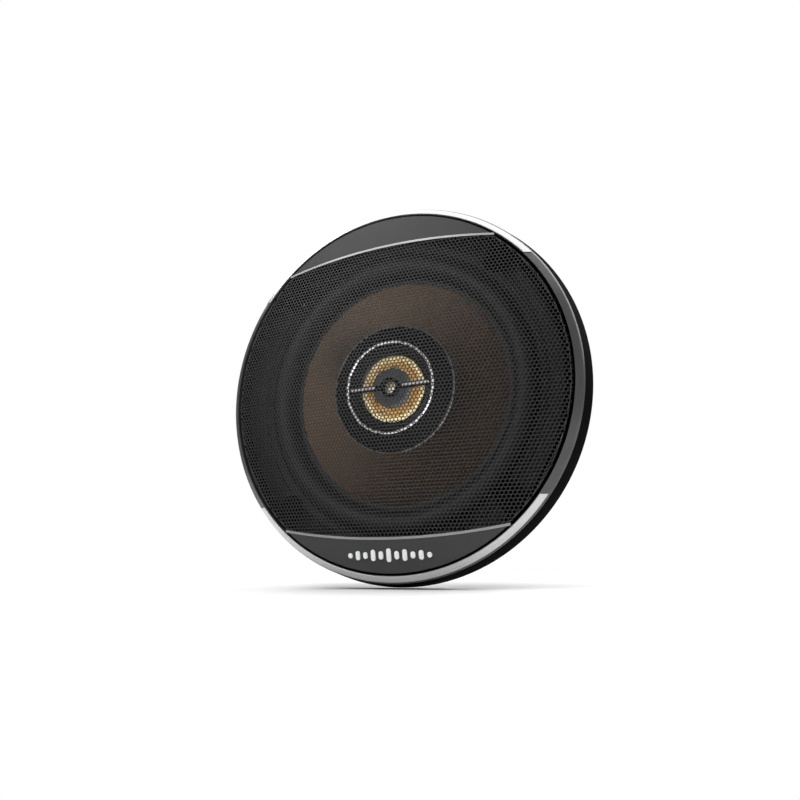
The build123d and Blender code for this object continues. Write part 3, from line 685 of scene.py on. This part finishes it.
def perforated_plan():
    """Front-view points and quads of the cells round the holes, and which points edge a hole."""
    centres = hole_centres()
    sides = np.arange(HOLE_SIDES)
    turns = np.radians(sides * 360 / HOLE_SIDES)
    spoke = np.stack([np.cos(turns), np.sin(turns)], 1)
    cell_reach = np.where(sides % 2 == 0, HOLE_PITCH / 2, HOLE_PITCH / sqrt(3))
    outer = (centres[:, None, :] + spoke * cell_reach[:, None]).reshape(-1, 2)
    inner = (centres[:, None, :] + spoke * HOLE_RADIUS).reshape(-1, 2)
    flat = keep_inside(np.concatenate([outer, inner]))
    keys = np.round(flat / WELD).astype(np.int64)
    _, first, lookup = np.unique(keys, axis=0, return_index=True, return_inverse=True)
    total = len(centres) * HOLE_SIDES
    index = np.arange(total).reshape(-1, HOLE_SIDES)
    following = np.roll(index, -1, axis=1)
    quads = np.stack([index, following, following + total, index + total], 2).reshape(-1, 4)
    return flat[first], lookup.ravel()[quads], first >= total


def build_mesh():
    """Domed steel sheet with staggered round holes, trimmed to its outline."""
    flat, quads, at_hole = perforated_plan()
    depth = dome_y(flat[:, 0], flat[:, 1]) + np.where(at_hole, WEB_CROWN, 0.0)
    points = np.stack([flat[:, 0], depth, flat[:, 1]], 1)
    cells = [list(dict.fromkeys(quad)) for quad in quads.tolist()]
    mesh = bpy.data.meshes.new("mesh_sheet")
    mesh.from_pydata(points.tolist(), [], [cell for cell in cells if len(cell) >= 3])
    mesh.validate()
    tidy = bmesh.new()
    tidy.from_mesh(mesh)
    slivers = [face for face in tidy.faces if face.calc_area() < SLIVER]
    bmesh.ops.delete(tidy, geom=slivers, context="FACES")
    tidy.normal_update()
    for face in tidy.faces:
        if face.normal.y > 0:
            face.normal_flip()
        face.smooth = True
    tidy.to_mesh(mesh)
    tidy.free()
    sheet = add_object("mesh_sheet", mesh)
    thick = sheet.modifiers.new("sheet", "SOLIDIFY")
    thick.thickness = MESH_SHEET * 0.75
    thick.offset = -1
    finish_piece(sheet, "grille", "mesh_black", "grille_mesh")


# ---- Plates, tubes and softened copies ----
def circle_loop(x, z, radius, count=48):
    """Closed loop of front-view points on a circle."""
    turns = [2 * pi * step / count for step in range(count)]
    return [(x + radius * cos(turn), z + radius * sin(turn)) for turn in turns]


def cut_plate(name, loops, front, thickness, edge):
    """Flat plate facing forward, with holes and rounded edges; the first loop is its outline."""
    curve = bpy.data.curves.new(name, "CURVE")
    curve.dimensions = "2D"
    curve.fill_mode = "BOTH"
    curve.extrude = thickness / 2 - edge
    curve.bevel_depth = edge
    curve.bevel_resolution = 2
    curve.offset = -edge
    for loop in loops:
        spline = curve.splines.new("POLY")
        spline.points.add(len(loop) - 1)
        spline.points.foreach_set("co", [value for x, z in loop for value in (x, z, 0, 1)])
        spline.use_cyclic_u = True
    holder = add_object(name, curve)
    shape = holder.evaluated_get(bpy.context.evaluated_depsgraph_get()).to_mesh()
    points = [(v.co.x, front + thickness / 2 - v.co.z, v.co.y) for v in shape.vertices]
    faces = [tuple(face.vertices) for face in shape.polygons]
    bpy.data.objects.remove(holder)
    plate = new_piece(name, points, faces)
    welded = bmesh.new()
    welded.from_mesh(plate.data)
    bmesh.ops.remove_doubles(welded, verts=welded.verts, dist=0.001 * MM)
    bmesh.ops.recalc_face_normals(welded, faces=welded.faces)
    welded.to_mesh(plate.data)
    welded.free()
    return plate


def smooth_path(knots, steps):
    """Points along a curve through the knots."""
    knots = [Vector(k) for k in knots]
    padded = [2 * knots[0] - knots[1]] + knots + [2 * knots[-1] - knots[-2]]
    path = []
    for index in range(1, len(padded) - 2):
        a, b, c, d = padded[index - 1:index + 3]
        for step in range(steps):
            t = step / steps
            bend = (2 * a - 5 * b + 4 * c - d) * t * t + (3 * b - a - 3 * c + d) * t**3
            path.append(0.5 * (2 * b + (c - a) * t + bend))
    path.append(knots[-1])
    return path


def tube(path, radius, offset=0.0, turns=0.0, phase=0.0, sides=10):
    """Points and faces of a round tube along a path, or of a strand wound round that path."""
    points, faces = [], []
    for index, place in enumerate(path):
        ahead = path[min(index + 1, len(path) - 1)] - path[max(index - 1, 0)]
        ahead.normalize()
        side = ahead.cross(Vector((1, 0, 0))).normalized()
        across_path = ahead.cross(side)
        turn = phase + 2 * pi * turns * index / (len(path) - 1)
        centre = place + offset * (cos(turn) * side + sin(turn) * across_path)
        for step in range(sides):
            angle = 2 * pi * step / sides
            spoke = cos(angle) * side + sin(angle) * across_path
            points.append(centre + radius * spoke)
    for index in range(len(path) - 1):
        faces += band(index * sides, (index + 1) * sides, sides)
    faces.append(tuple(range(sides)))
    faces.append(tuple(range(len(points) - sides, len(points))))
    return points, faces


def joined(name, shapes, smooth_angle=35):
    """One piece from several sets of points and faces."""
    points, faces = [], []
    for shape_points, shape_faces in shapes:
        start = len(points)
        points += shape_points
        faces += [tuple(start + index for index in face) for face in shape_faces]
    return new_piece(name, points, faces, smooth_angle)


def softened(node, width, slot):
    """A fixed node's own shape again with its sharp edges eased, standing for the node."""
    shape = bmesh.new()
    shape.from_mesh(frame["nodes"][node].data)
    bmesh.ops.remove_doubles(shape, verts=shape.verts, dist=0.001 * MM)
    flat = radians(0.5)
    bmesh.ops.dissolve_limit(
        shape, angle_limit=flat, verts=shape.verts, edges=shape.edges, delimit={"NORMAL"}
    )
    mesh = bpy.data.meshes.new(node + "_eased")
    shape.to_mesh(mesh)
    shape.free()
    for face in mesh.polygons:
        face.use_smooth = True
    piece = bevelled(add_object(node + "_eased", mesh), width, 2, 32)
    return finish_piece(piece, "root", slot, node)


def radial_blend(piece):
    """Bakes an annular soft piece's placement into its mesh and reads its points."""
    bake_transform(piece)
    count = len(piece.data.vertices)
    places = np.zeros(count * 3, np.float32)
    piece.data.vertices.foreach_get("co", places)
    places = places.reshape(-1, 3)


# ---- Woofer ----
PAPER = 0.6 * MM
cone_low, cone_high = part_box("woofer_cone")
LIP_RADIUS = cone_high.x
CONE_RADIUS = LIP_RADIUS - 2.6 * MM
CONE_EDGE = cone_low.y
CONE_NECK = cone_high.y - PAPER
FORMER_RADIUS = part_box("coil_former")[1].x
CONE_BELLY_RADIUS, CONE_BELLY = 32.0 * MM, 9.7 * MM


def cone_line(behind):
    """The cone's section from edge to neck, a distance behind its front face."""
    knots = ((CONE_RADIUS, CONE_EDGE), (CONE_BELLY_RADIUS, CONE_BELLY), (FORMER_RADIUS, CONE_NECK))
    return arc(*[(radius, y + behind) for radius, y in knots], 48)


def build_cone():
    """Woven-faced paper cone with a flat lip, and the glue bead at its neck."""
    outline = cone_line(0.0) + cone_line(PAPER)[::-1]
    outline += [(LIP_RADIUS, CONE_EDGE + PAPER), (LIP_RADIUS, CONE_EDGE)]
    finish_piece(lathe("cone_paper", outline), "woofer", "cone_bronze", "woofer_cone")
    bead_edge = FORMER_RADIUS + 1.5 * MM
    bead = arc(
        (bead_edge, CONE_NECK - 0.75 * MM),
        (FORMER_RADIUS + 0.5 * MM, CONE_NECK - 0.85 * MM),
        (FORMER_RADIUS, CONE_NECK - 0.2 * MM),
        8,
    )
    bead += [(FORMER_RADIUS, CONE_NECK + 0.3 * MM), (bead_edge, CONE_NECK - 0.2 * MM)]
    finish_piece(lathe("neck_bead", bead, 144), "woofer", "former_film")


def build_surround():
    """Half-roll rubber surround with a raised inner bead and its flat landing."""
    low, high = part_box("surround")
    landing, crest = high.x, low.y
    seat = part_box("front_gasket")[1].y
    sheet = 0.6 * MM
    crest_radius = 64.0 * MM
    top = CONE_EDGE - sheet
    start = CONE_RADIUS + 0.2 * MM
    outline = [(start, CONE_EDGE), (start, top), (CONE_RADIUS + 1.2 * MM, top - 0.3 * MM)]
    outline += arc((LIP_RADIUS + 0.2 * MM, top), (crest_radius, crest), (ROLL_END, seat), 40)
    outline += [(landing, seat), (landing, seat + sheet)]
    outline += arc(
        (ROLL_END - 0.7 * MM, seat + sheet),
        (crest_radius, crest + 0.7 * MM),
        (LIP_RADIUS + 0.9 * MM, CONE_EDGE),
        40,
    )
    roll = finish_piece(lathe("surround_roll", outline), None, "roll_rubber", "surround")
    radial_blend(roll)


def build_spider():
    """Corrugated cloth spider, four waves between the former and its shelf."""
    low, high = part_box("spider")
    sheet = 0.5 * MM
    front = (low.y + high.y - sheet) / 2
    wave_height = front - low.y
    start, pitch, waves = 15.5 * MM, 5.2 * MM, 4
    outer = high.x
    steps = 16 * waves
    crest_line = [(FORMER_RADIUS, front)]
    for step in range(steps + 1):
        along = step / steps * waves
        y = front + wave_height * sin(2 * pi * along)
        crest_line.append((start + along * pitch, y))
    crest_line.append((outer, front))
    outline = crest_line + [(radius, y + sheet) for radius, y in reversed(crest_line)]
    cloth = finish_piece(lathe("spider_cloth_disc", outline, 240), None, "spider_cloth", "spider")
    radial_blend(cloth)


def build_rings_and_gaskets():
    """Felt dust ring, the clamping gasket over the surround, and the foam gasket at the back."""
    low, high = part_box("dust_ring")
    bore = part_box("post_spacer")[1].x + 0.5 * MM
    felt_outline = rounded(slab(bore, high.x, low.y, high.y), 0.2 * MM)
    finish_piece(lathe("dust_felt", felt_outline, 144), "woofer", "felt", "dust_ring")

    low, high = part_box("front_gasket")
    pad = rounded(slab(high.x - 4.0 * MM, high.x, low.y, high.y), 0.5 * MM)
    for index in range(4):
        part = lathe("clamp_gasket_%d" % (index + 1), pad, 90, 90 * index + 0.5, 89.0)
        nodes = ["front_gasket"] if index == 0 else []
        finish_piece(part, "root", "gasket_foam", *nodes)

    low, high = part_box("rear_gasket")
    bore, bolt_circle, bolt_mark = 65.5 * MM, 77.5 * MM, 0.8 * MM
    loops = [circle_loop(0, 0, high.x, 240), circle_loop(0, 0, bore, 240)]
    for index in range(4):
        turn = radians(45 + 90 * index)
        x, z = bolt_circle * cos(turn), bolt_circle * sin(turn)
        loops.append(circle_loop(x, z, bolt_mark))
    pad = cut_plate("rear_foam", loops, low.y, high.y - low.y, 0.15 * MM)
    finish_piece(pad, "root", "gasket_foam", "rear_gasket")


def build_leads():
    """Two braided leads, each three strands twisted together."""
    strand_radius, wind_radius, twists = 0.26 * MM, 0.24 * MM, 14
    knots = ((9.0, 16.0, -55.4), (9.5, 12.0, -52.5), (9.0, 12.4, -44.0), (8.0, 11.3, -33.0))
    strands = []
    for side in (-1, 1):
        path = smooth_path([(side * x * MM, y * MM, z * MM) for x, y, z in knots], 36)
        for strand in range(3):
            phase = 2 * pi * strand / 3
            strands.append(tube(path, strand_radius, wind_radius, twists, phase))
    leads = joined("twisted_leads", strands, 50)
    finish_piece(leads, None, "copper", "tinsel_leads")
    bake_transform(leads)


# ---- Pod, midrange and tweeter ----
def build_pod():
    """Pod body with its flared rim, and the two bright rings on it."""
    low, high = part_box("pod_housing")
    rim, crest, floor_y = high.x, low.y, high.y
    bore, ledge, seat, hole = 21.4 * MM, -5.4 * MM, 19.4 * MM, 5.0 * MM
    floor_top = floor_y - 1.5 * MM
    neck = bore + 1.6 * MM
    outline = [(bore, crest), (bore + 1.5 * MM, crest), (rim - 0.8 * MM, crest + 3.6 * MM)]
    outline += [(rim, crest + 3.9 * MM), (rim, crest + 4.9 * MM), (neck, crest + 1.2 * MM)]
    outline += [(neck, -4.0 * MM), (21.0 * MM, 0.8 * MM), (15.0 * MM, floor_y)]
    outline += [(hole, floor_y), (hole, floor_top), (14.4 * MM, floor_top)]
    outline += [(seat, 0.0), (seat, ledge), (bore, ledge)]
    shell = lathe("pod_shell", rounded(outline, 0.3 * MM))
    finish_piece(shell, "root", "pod_black", "pod_housing")
    low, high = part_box("pod_ring_inner")
    crown = (high.x + bore) / 2 + 0.15 * MM
    bead = arc((high.x, high.y), (crown, low.y), (bore + 0.3 * MM, high.y), 12)
    finish_piece(lathe("pod_bead", bead), "root", "pod_silver", "pod_ring_inner")
    low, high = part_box("pod_ring_outer")
    corners = [(rim, high.y), (rim, low.y), (high.x, low.y + 0.1 * MM), (high.x, high.y)]
    band = lathe("pod_band", rounded(corners, 0.12 * MM))
    finish_piece(band, "root", "pod_silver", "pod_ring_outer", look="satin_band")


def build_midrange():
    """Ridged golden cone, its rolled edge, and the frame lip round it."""
    low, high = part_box("mid_cone")
    edge_radius, edge, neck_radius = high.x, low.y, 5.1 * MM
    belly_radius, belly, sheet = 10.5 * MM, -4.9 * MM, 0.3 * MM
    ridge_height, ridge_pitch = 0.06 * MM, 1.15 * MM
    rim_point, belly_point = (edge_radius, edge), (belly_radius, belly)
    ridges = []
    for radius, y in arc(rim_point, belly_point, (neck_radius, high.y - sheet), 96):
        inside = min(1.0, (edge_radius - radius) / MM, (radius - neck_radius) / MM)
        wave = sin(2 * pi * radius / ridge_pitch)
        ridges.append((radius, y + ridge_height * inside * wave))
    belly_back, rim_back = (belly_radius, belly + sheet), (edge_radius, edge + sheet)
    back = arc((neck_radius, high.y), belly_back, rim_back)
    cone = lathe("mid_cone_ridged", ridges + back, 192, smooth_angle=60)
    finish_piece(cone, "midrange", "gold", "mid_cone")

    low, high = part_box("mid_surround")
    bore, base, crest_radius = high.x, high.y, 17.7 * MM
    top = base - sheet
    roll = [(edge_radius, base), (edge_radius, top)]
    roll += arc((edge_radius + 0.1 * MM, top), (crest_radius, low.y), (18.9 * MM, top), 20)
    roll += [(bore, top), (bore, base)]
    crest_back = (crest_radius, low.y + sheet)
    roll += arc((18.6 * MM, base), crest_back, (edge_radius + 0.3 * MM, base), 20)
    edging = finish_piece(lathe("mid_roll", roll, 192), None, "roll_rubber", "mid_surround")
    radial_blend(edging)


def build_tweeter():
    """Tweeter cup, its silk edge and its bright little dome."""
    low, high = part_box("tweeter_housing")
    front, back, radius = low.y, high.y, high.x
    mouth, inner_wall, hole, slope = 4.6 * MM, 8.4 * MM, 0.4 * MM, 0.6 * MM
    face_back, floor_top = front + 0.9 * MM, back - 0.7 * MM
    outline = [(mouth, front + slope), (mouth + slope, front)]
    outline += [(radius - slope, front), (radius, front + slope), (radius, back)]
    outline += [(hole, back), (hole, floor_top), (inner_wall, floor_top)]
    outline += [(inner_wall, face_back), (mouth, face_back)]
    cup = lathe("tweeter_cup", rounded(outline, 0.22 * MM), 192)
    finish_piece(cup, "root", "pod_black", "tweeter_housing", look="tweeter_slate")
    low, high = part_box("tweeter_surround")
    inner, outer = 2.95 * MM, high.x
    steps, wave_steps, wave_height = 40, 10, 0.07 * MM
    wave = []
    for step in range(steps + 1):
        fade = min(1.0, step / 6, (steps - step) / 6)
        y = low.y + wave_height * fade * sin(2 * pi * step / wave_steps)
        wave.append((inner + (outer - inner) * step / steps, y))
    silk = wave + [(radius, y + 0.15 * MM) for radius, y in reversed(wave)]
    edging = lathe("tweeter_silk", silk, 144)
    finish_piece(edging, None, "roll_rubber", "tweeter_surround")
    radial_blend(edging)
    low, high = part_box("tweeter_dome")
    edge, flank_radius, tip, sheet = high.x, high.x * 0.6, 0.02 * MM, 0.2 * MM
    flank = low.y + 0.42 * MM
    crown = arc((edge, high.y - sheet), (flank_radius, flank), (tip, low.y), 16)
    under = arc((tip, low.y + sheet), (flank_radius, flank + sheet), (edge, high.y), 16)
    cap = lathe("dome_cap", crown + under, 96)
    finish_piece(cap, "tweeter", "gold", "tweeter_dome", look="dome_gold")


# ---- Back: basket, motor, terminals ----
EASED = (
    ("basket", 0.25, "frame_black"),
    ("mounting_ring", 0.3, "frame_black"),
    ("top_plate", 0.3, "plated_steel"),
    ("ferrite_magnet", 0.3, "ferrite"),
    ("pole_yoke", 0.3, "plated_steel"),
    ("post_nut", 0.35, "plated_steel"),
    ("post_washer", 0.15, "plated_steel"),
    ("terminal_board", 0.25, "terminal_grey"),
    ("board_rivet", 0.25, "plated_steel"),
    ("motor_rivets", 0.2, "plated_steel"),
    ("bridge_bar", 0.18, "pod_black"),
)


def build_tabs():
    """Two blade terminals with tapered tips and a locking hole."""
    for node in ("positive_tab", "negative_tab"):
        low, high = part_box(node)
        width, length, sheet = high.x - low.x, high.y - low.y, high.z - low.z
        middle = (low.x + high.x) / 2
        tip = 0.22 * width
        side, taper = width / 2, length - 1.6 * tip
        blade = [(-side, 0), (side, 0), (side, taper)]
        blade += [(side - tip, length), (tip - side, length), (-side, taper)]
        hole_inset, hole_radius = 3.6 * MM, 0.24 * width
        hole = circle_loop(0, length - hole_inset, hole_radius, 24)
        tab = cut_plate(node + "_blade", [blade, hole], 0.0, sheet, 0.12 * MM)
        for vertex in tab.data.vertices:
            x, y, z = vertex.co
            vertex.co = (middle + x, low.y + z, high.z - y)
        tab.data.flip_normals()
        finish_piece(tab, "root", "tab_plate", node)


def build_capacitors():
    """Sleeved capacitors with a rolled crimp, a bare end disc and bent wire legs."""
    bends = ((-0.4, 0.0, 0.0), (0.9, 0.0, 0.0), (1.3, -0.8, -1.2), (1.2, -1.2, -4.6))
    for node in ("midrange_capacitor", "tweeter_capacitor"):
        low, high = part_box(node)
        radius = (high.y - low.y) / 2
        length = high.x - low.x
        centre_y, centre_z = (low.y + high.y) / 2, (low.z + high.z) / 2
        hub = 0.05 * MM
        outline = [(hub, 0.35 * MM), (radius * 0.72, 0.35 * MM), (radius * 0.8, 0.0)]
        outline += [(radius * 0.93, 0.0), (radius, 0.5 * MM), (radius, 2.2 * MM)]
        outline += [(radius * 0.9, 2.8 * MM), (radius, 3.4 * MM), (radius, length - 0.6 * MM)]
        outline += [(radius * 0.92, length), (radius * 0.78, length)]
        outline += [(radius * 0.7, length - 0.3 * MM), (hub, length - 0.3 * MM)]
        can = lathe(node + "_can", rounded(outline, 0.35 * MM, 3), 72)
        for vertex in can.data.vertices:
            x, y, z = vertex.co
            vertex.co = (low.x + y, centre_y + x, centre_z + z)
        finish_piece(can, "root", "capacitor_sleeve", node)
        legs = []
        for end, outward in ((low.x, -1), (high.x, 1)):
            knots = []
            for x, y, z in bends:
                knots.append((end + outward * x * MM, centre_y + y * MM, centre_z + z * MM))
            legs.append(tube(smooth_path(knots, 10), 0.3 * MM))
        finish_piece(joined(node + "_legs", legs), "root", "tab_plate")


build_grille_ring()
build_trims()
build_frame()
build_panels()
build_mesh()
build_cone()
build_surround()
build_spider()
build_rings_and_gaskets()
build_leads()
build_pod()
build_midrange()
build_tweeter()
for node, width, slot in EASED:
    softened(node, width * MM, slot)
build_tabs()
build_capacitors()


# ---- Stage, light and camera ----
SURROUND_LIGHT = 0.10                 # the studio walls' brightness, to all but the camera


def build_floor():
    """Pale seamless floor: lit paper near the speaker, fading to clean white with distance."""
    floor_z = cad_low.z - 0.2 * MM
    bpy.ops.mesh.primitive_plane_add(size=12, location=(0, 0, floor_z))
    floor = bpy.context.object
    floor.name = "floor"
    fade_from, fade_to = 0.03, 0.18
    s = Shader("floor_paper")
    s.set(Base_Color=s.mix(s.noise(3), grey(0.92), grey(0.94)))
    s.set(Roughness=0.95, Specular_IOR_Level=0.0)
    x, y, _ = s.axes()
    far = s.spread(s.across(x, y), 0.0, 1.0, fade_from, fade_to)
    seen = s.node("ShaderNodeLightPath").outputs["Is Camera Ray"]
    white = s.node("ShaderNodeEmission", {"Color": grey(1.0), "Strength": 1.0}).outputs[0]
    share = s.math("MULTIPLY", far, seen)
    mixed = s.node("ShaderNodeMixShader", {0: share, 1: s.surface.outputs[0], 2: white}).outputs[0]
    s.tree.links.new(mixed, s.tree.nodes["Material Output"].inputs["Surface"])
    floor.data.materials.append(s.material)


def softbox(name, place, width, height, power):
    """Rectangular soft light aimed at the origin."""
    data = bpy.data.lights.new(name, "AREA")
    data.shape = "RECTANGLE"
    data.size = width
    data.size_y = height
    data.energy = power
    light = add_object(name, data)
    light.location = place
    light.rotation_euler = (-Vector(place)).to_track_quat("-Z", "Y").to_euler()
    light.visible_camera = False
    return light


def behind_grille(piece, reach, depth):
    """Whether a piece sits in the basket's mouth, within a reach from the axis and a depth."""
    if piece.get("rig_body") == "grille":
        return False
    widest = max(max(abs(corner[0]), abs(corner[2])) for corner in piece.bound_box)
    return widest < reach and max(corner[1] for corner in piece.bound_box) < depth


def group(name, pieces):
    """Collection of pieces for a lamp to light or to be shaded by."""
    made = bpy.data.collections.new(name)
    for piece in pieces:
        made.objects.link(piece)
    return made


def share_light(outer_lamps, inner_lamp, front_lamp):
    """Outer lamps light what the grille doesn't hide, and the others what is in and behind it.

    The front lamp picks out the mesh, the surround and the golden cone. The inner lamp lights the
    rest behind the mesh. The grille's rim, the paper cone and the picked soft parts shade these
    pieces; the mesh and the pod don't.
    """
    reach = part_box("surround")[1].x + MM
    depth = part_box("spider")[1].y + MM
    picked = ("mesh_sheet", "surround_roll", "mid_cone_ridged")
    shading = ("grille_ring", "grille_wall", "cone_paper", "surround_roll", "mid_cone_ridged")
    pieces = [piece for piece in bpy.context.scene.objects if piece.type == "MESH"]
    inside = [piece for piece in pieces if behind_grille(piece, reach, depth)]
    outside = [piece for piece in pieces if piece not in inside]
    front_lit = [piece for piece in pieces if piece.name in picked]
    inner_lit = [piece for piece in inside if piece.name not in picked]
    shade = group("shading", [piece for piece in pieces if piece.name in shading])
    for lamp in outer_lamps:
        lamp.light_linking.receiver_collection = group(lamp.name + "_lit", outside)
    for lamp, lit in ((front_lamp, front_lit), (inner_lamp, inner_lit)):
        lamp.light_linking.receiver_collection = group(lamp.name + "_lit", lit)
        lamp.light_linking.blocker_collection = shade


def build_world():
    """White to the camera, a dimmer grey surround to everything else."""
    world = bpy.data.worlds.new("studio")
    bpy.context.scene.world = world
    world.use_nodes = True
    tree = world.node_tree
    background = tree.nodes["Background"]
    seen = tree.nodes.new("ShaderNodeLightPath").outputs["Is Camera Ray"]
    strength = tree.nodes.new("ShaderNodeMapRange")
    strength.inputs["To Min"].default_value = SURROUND_LIGHT
    tree.links.new(seen, strength.inputs["Value"])
    tree.links.new(strength.outputs["Result"], background.inputs["Strength"])
    background.inputs["Color"].default_value = (1, 1, 1, 1)


def build_camera():
    """Camera low on the speaker's right, close enough for strong perspective."""
    azimuth, elevation, roll = map(radians, (23.80, -12.78, -1.16))
    shift_right, shift_up, distance = 5.9 * MM, -6.64 * MM, 304.0 * MM
    turn = Matrix.Rotation(azimuth, 4, "Z")
    turn @= Matrix.Rotation(radians(90) - elevation, 4, "X")
    turn @= Matrix.Rotation(roll, 4, "Z")
    place = Vector((0, RING_FRONT, 0)) + turn @ Vector((shift_right, shift_up, distance))
    data = bpy.data.cameras.new("camera")
    data.lens = 28.76
    data.clip_start = 0.01
    camera = add_object("camera", data)
    camera.matrix_world = Matrix.Translation(place) @ turn
    bpy.context.scene.camera = camera


build_floor()
build_world()
top_box = softbox("top_box", (0.0, -0.10, 0.85), 1.5, 0.9, 8)
key_box = softbox("key_box", (-0.3, -0.55, 0.6), 0.6, 0.5, 2.9)
softbox("left_box", (-0.6, 0.22, 0.72), 0.5, 0.4, 3)
softbox("rim_box", (0.65, 0.38, 0.6), 0.8, 0.8, 8)
inner_box = softbox("inner_box", (0.66, -0.24, -0.50), 0.3, 0.3, 11)
front_box = softbox("front_box", (-0.26, -0.50, 0.22), 0.3, 0.3, 2.5)
share_light((top_box, key_box), inner_box, front_box)
build_camera()
bpy.context.scene.view_settings.view_transform = "Standard"
